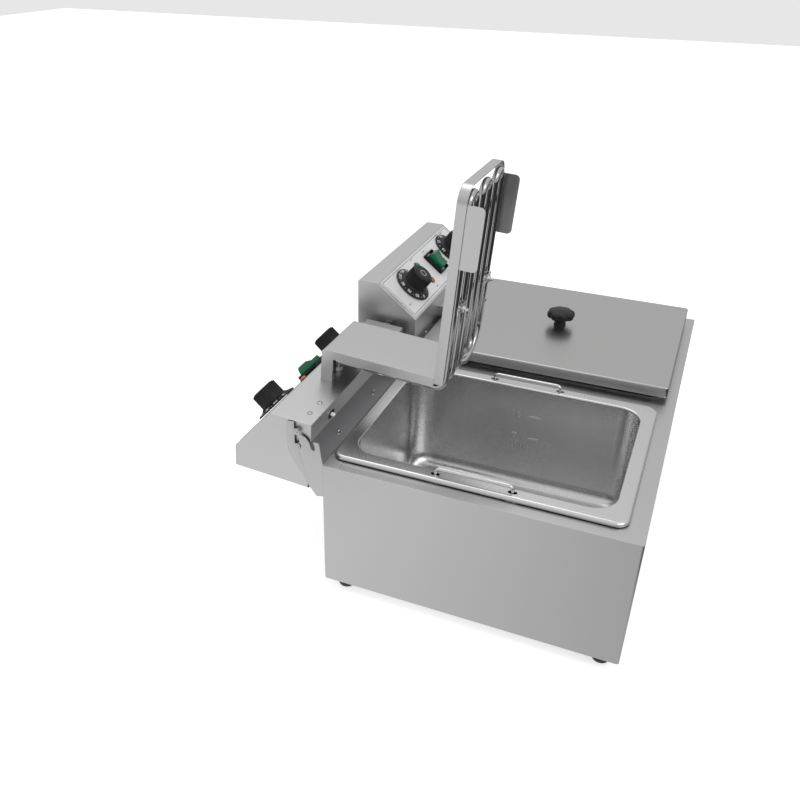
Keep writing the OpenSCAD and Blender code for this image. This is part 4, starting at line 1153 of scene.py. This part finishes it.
def bezel_shape():
    outer = round_rect(BEZEL_W, BEZEL_L, 2.5)
    inner = round_rect(BEZEL_W - 2 * BEZEL_WALL, BEZEL_L - 2 * BEZEL_WALL, 1.6)
    return wall_between(outer, inner, 0.1, BEZEL_H)


for side, word in SIDES.items():
    dressed(word + "_switch_frame", switch_black, 0.5, 3)
    at_switch = at_panel(side, SWITCH_X, KNOB_U, FOIL_H)
    on_head(side, "_switch_bezel", bezel_shape(), switch_black, place=at_switch, bevel=0.3)
    lift = at_switch @ shift(0, 0, ROCKER_LIFT) @ ROCKER_FIT @ at_switch.inverted()
    dressed(word + "_switch_rocker", rocker_green, 0.7, 3, turned=lift)
    for lamp, lens, u in LAMPS:
        at_lamp = at_panel(side, LAMP_X, u, FOIL_H)
        on_head(side, lamp + "_lens", lathe(DOME, 40), lens, [lamp], at_lamp)
        on_head(side, lamp + "_collar", turned_ring(COLLAR, 40), switch_black, place=at_lamp)
print("lamps per head:", len(LAMPS))

# %% [markdown]
# The riser cover is a bent sheet: two arms reach forward from the head, the sheet bends down over a round
# fold and runs to the element. Its two side flanges turn back. The middle sheet is a thin profile pulled
# across, and each flange is a thin plate of the same outline.

# %% Riser covers
RISER_W, RISER_REACH, RISER_TOP, RISER_ARM, RISER_FLANGE, RISER_BEND = 94, 44, 39, 16, 12, 5
RISER_T = 1
GUARD_LOW, GUARD_H = 123, 12
GUARD_TOP = GUARD_H - GUARD_LOW


def riser_fold(inset, start, end, steps):
    return arc(RISER_BEND - RISER_REACH, RISER_TOP - RISER_BEND, RISER_BEND - inset, start, end, steps)


def riser_shape():
    outer = [(HEAD_FRONT, RISER_TOP)] + riser_fold(0, 90, 180, 8) + [(-RISER_REACH, GUARD_TOP)]
    inner = [(RISER_T - RISER_REACH, GUARD_TOP)] + riser_fold(RISER_T, 180, 90, 8)
    inner.append((HEAD_FRONT, RISER_TOP - RISER_T))
    under, behind = RISER_TOP - RISER_ARM, RISER_FLANGE - RISER_REACH
    flange = [(HEAD_FRONT, RISER_TOP - 0.6), (HEAD_FRONT, under), (behind, under), (behind, GUARD_TOP)]
    flange += [(0.5 - RISER_REACH, GUARD_TOP)] + riser_fold(0.6, 180, 90, 6)
    half = RISER_W / 2
    return joined(prism_x(outer + inner, -half, half), prism_x(flange, -half, RISER_T - half),
                  prism_x(flange, half - RISER_T, half))


for side in SIDES:
    on_head(side, "_riser_sheet", riser_shape(), riser_steel, ["_riser_cover"], bevel=0.25)
print("riser covers:", RISER_W, "mm wide")

# %% [markdown]
# The guard is a band bent round the tubes, with a lip along its front and a foot plate under each side.

# %% Element guards
GUARD_W, GUARD_FRONT, GUARD_CORNER, GUARD_T = 150, 278, 20, 1
GUARD_LEFT = -RISER_W / 2
GUARD_RIGHT = GUARD_LEFT + GUARD_W
GUARD_MID = GUARD_LEFT + GUARD_W / 2
STRIP_BACK = -RISER_REACH + 7.8
LIP = 7
SKID_L, SKID_H, SKID_BACK = 74, 22, 18
SKID_INSET, SKID_LAP, SKID_CORNER = 1.3, 4, 6


def band_line(inset):
    left, right, front = GUARD_LEFT + inset, GUARD_RIGHT - inset, inset - GUARD_FRONT
    r = GUARD_CORNER - inset
    near = arc(left + r, front + r, r, 180, 270, 10)
    far = arc(right - r, front + r, r, 270, 360, 10)
    return [(left, STRIP_BACK)] + near + far + [(right, STRIP_BACK)]


def guard_shape():
    line = band_line(0)
    band = prism_z(line + list(reversed(band_line(GUARD_T))), -GUARD_LOW, GUARD_TOP)
    lip_line = [p for p in line if p[1] <= LIP - GUARD_FRONT]
    lip = prism_z(lip_line, GUARD_TOP - GUARD_T, GUARD_TOP)
    front, top, low = SKID_BACK - GUARD_FRONT, SKID_LAP - GUARD_LOW, GUARD_T - GUARD_LOW - SKID_H
    corners = [(front, top), (front, low), (front + SKID_L, low), (front + SKID_L, top)]
    plate = round_corners(corners, [0.1, SKID_CORNER, SKID_CORNER, 0.1], 6)
    sides = (GUARD_LEFT + SKID_INSET, GUARD_RIGHT - GUARD_T - SKID_INSET)
    return joined(band, lip, *[prism_x(plate, x, x + GUARD_T) for x in sides])


for side in SIDES:
    on_head(side, "_guard_band", guard_shape(), riser_steel, ["_element_guard"], bevel=0.25)
print("guards:", GUARD_W, "mm wide")

# %% [markdown]
# The heating tubes are the main piece here, and their shape follows a rule: six parallel runs joined by
# half turns, with the last run swinging wide round the small rear turn to its leg. The route is a list of
# corners with a bend radius each, and the swept tube does the rest. Two straps lie across the runs, and
# one of them is held by two clamps with a bolt each.

# %% Heating tubes
TUBE_D, TUBE_PITCH = 9, 26
ARM_BEND, LEG_BEND = 9, 12
TURN_R = TUBE_PITCH / 2
RUN_Z = GUARD_TOP - GUARD_H / 2 - 5
RUN_X = [GUARD_MID + k * TUBE_PITCH for k in (-2.5, -1.5, -0.5, 0.5, 1.5, 2.5)]
LEG_Y = -RISER_REACH + 1 + TUBE_D / 2 + 10.5
LAST_LEG_X = RISER_W / 2 - 1 - TUBE_D
TURN_GAP = 5
FRONT_Y = -GUARD_FRONT + 1 + TUBE_D / 2 + TURN_GAP
REAR_Y = LEG_Y - TUBE_D - 4
ARM_Z = RISER_TOP - RISER_ARM / 2
END_Y = HEAD_FRONT + 15


def leg(x):
    return [(x, END_Y, ARM_Z), (x, LEG_Y, ARM_Z), (x, LEG_Y, RUN_Z)]


def on_runs(*stops):
    return [(RUN_X[k], y, RUN_Z) for k, y in stops]


def tube_routes():
    half_turn = [TURN_R - 0.05] * 2
    first = leg(RUN_X[0]) + on_runs((0, FRONT_Y), (1, FRONT_Y)) + leg(RUN_X[1])[::-1]
    first_bends = [ARM_BEND, LEG_BEND, *half_turn, LEG_BEND, ARM_BEND]
    middle = on_runs((2, FRONT_Y), (3, FRONT_Y), (3, REAR_Y), (4, REAR_Y), (4, FRONT_Y), (5, FRONT_Y),
                     (5, LEG_Y))
    second = leg(RUN_X[2]) + middle + leg(LAST_LEG_X)[::-1]
    second_bends = [ARM_BEND, LEG_BEND, *half_turn * 3, TUBE_PITCH + TURN_R, LEG_BEND, ARM_BEND]
    return [rounded_path(first, first_bends, 14), rounded_path(second, second_bends, 14)]


STRAP_YS = (-131, -226)
STRAP_W, STRAP_T, STRAP_GAP = 10, 1.2, 0.1
STRAP_SPAN = 5 * TUBE_PITCH + TUBE_D + 4
OVER, UNDERNEATH = RUN_Z + TUBE_D / 2, RUN_Z - TUBE_D / 2
BOLT = [(0.1, -9), (1.8, -9), (1.8, -5.6), (3.4, -5.4), (4.2, -4.6), (4.2, -2.4), (2, -2.4)]


def strap(l, x, y, z):
    return prism_z(round_rect(l, STRAP_W, 2, 4, x, y), z, z + STRAP_T)


def clamp_shape():
    shapes = [strap(STRAP_SPAN, GUARD_MID, y, OVER + STRAP_GAP) for y in STRAP_YS]
    bolt = [(r, UNDERNEATH + z) for r, z in BOLT] + [(2, OVER + 5), (0.1, OVER + 5)]
    for k in (0, 4):
        x, y = (RUN_X[k] + RUN_X[k + 1]) / 2, STRAP_YS[0]
        shapes.append(strap(TUBE_PITCH + 7, x, y, UNDERNEATH - STRAP_GAP - STRAP_T))
        shapes.append(moved(lathe(bolt, 24), shift(x, y)))
    return joined(*shapes)


for side, word in SIDES.items():
    swept(word + "_tubes", tube_routes(), TUBE_D, at_head(side), tube_steel, word + "_head",
          [word + "_heating_tubes"], 24)
    dressed(word + "_tube_nuts", plate_steel, 0.3)
    on_head(side, "_tube_clamps", clamp_shape(), bright_wire, ["_clamp_straps"], bevel=0.25)
    dressed(word + "_sensor_bulbs", bulb_steel, 0.2)
print("tube runs at x =", [round(x) for x in RUN_X])

# %% [markdown]
# A pale floor catches the fryer's shadow. For the camera it is nearly white, as a lit light table is.
# The sheet metal mirrors it, and there it fades towards the front, which grades the cabinet's side.
# In front of the fryer and behind it the floor mirrors dark, as black cards would, which gives the round
# tubes their contrast.

# %% Floor
FLOOR_SIZE = 12
FLOOR_TONE, FLOOR_GLOW = 0.9, 0.5
FRONT_EDGE_Y, BACK_EDGE_Y = -0.30, 0.20
FADE_FRONT, FADE_BACK = (0.60, 0.60, 0.60), (0.98, 0.98, 0.98)
FRONT_CARD_Y = (-0.32, -0.42)
BACK_CARD_Y, BACK_CARD_X = (0.42, 0.57), (-0.40, -0.30)
SMALL_CARD_X = ((-0.87, -0.84), (-0.66, -0.69))
SMALL_CARD_Y = ((0.27, 0.30), (0.43, 0.40))
CARD_TONE = 0.08


def dark_cards(tree, x, y):
    front = remap(tree, y, *FRONT_CARD_Y)
    corner = combine(tree, "MULTIPLY", remap(tree, y, *BACK_CARD_Y), remap(tree, x, *BACK_CARD_X))
    across = combine(tree, "MULTIPLY", *[remap(tree, x, *edge) for edge in SMALL_CARD_X])
    along = combine(tree, "MULTIPLY", *[remap(tree, y, *edge) for edge in SMALL_CARD_Y])
    small = combine(tree, "MULTIPLY", across, along)
    return combine(tree, "MAXIMUM", combine(tree, "MAXIMUM", front, corner), small)


def floor_material():
    material, tree, shader = new_material("floor_white")
    fill(tree, shader, {"Base Color": (FLOOR_TONE, FLOOR_TONE, FLOOR_TONE, 1), "Roughness": 0.9})
    plain = shader.outputs[0]
    glow = add(tree, "ShaderNodeEmission", {"Strength": FLOOR_GLOW}).outputs[0]
    lit = add(tree, "ShaderNodeAddShader", {0: plain, 1: glow}).outputs[0]
    path = add(tree, "ShaderNodeLightPath").outputs
    seen = mixed(tree, path["Is Camera Ray"], plain, lit)
    where = add(tree, "ShaderNodeTexCoord").outputs["Object"]
    axes = add(tree, "ShaderNodeSeparateXYZ", {0: where}).outputs
    fade = ramp(tree, remap(tree, axes["Y"], FRONT_EDGE_Y, BACK_EDGE_Y), FADE_FRONT, FADE_BACK)
    strength = remap(tree, dark_cards(tree, axes["X"], axes["Y"]), 0, 1, 1.0, CARD_TONE)
    card = add(tree, "ShaderNodeEmission", {"Color": fade, "Strength": strength}).outputs[0]
    surface = mixed(tree, path["Is Glossy Ray"], seen, card)
    fill(tree, tree.nodes["Material Output"], {"Surface": surface})
    return material


edge = FLOOR_SIZE / 2
floor_mesh = bpy.data.meshes.new("floor")
floor_mesh.from_pydata([(-edge, -edge, 0), (edge, -edge, 0), (edge, edge, 0), (-edge, edge, 0)], [],
                       [(0, 1, 2, 3)])
floor_mesh.materials.append(floor_material())
linked("floor", floor_mesh)
bpy.data.objects.remove(SCREW)
print("floor of", FLOOR_SIZE, "m")
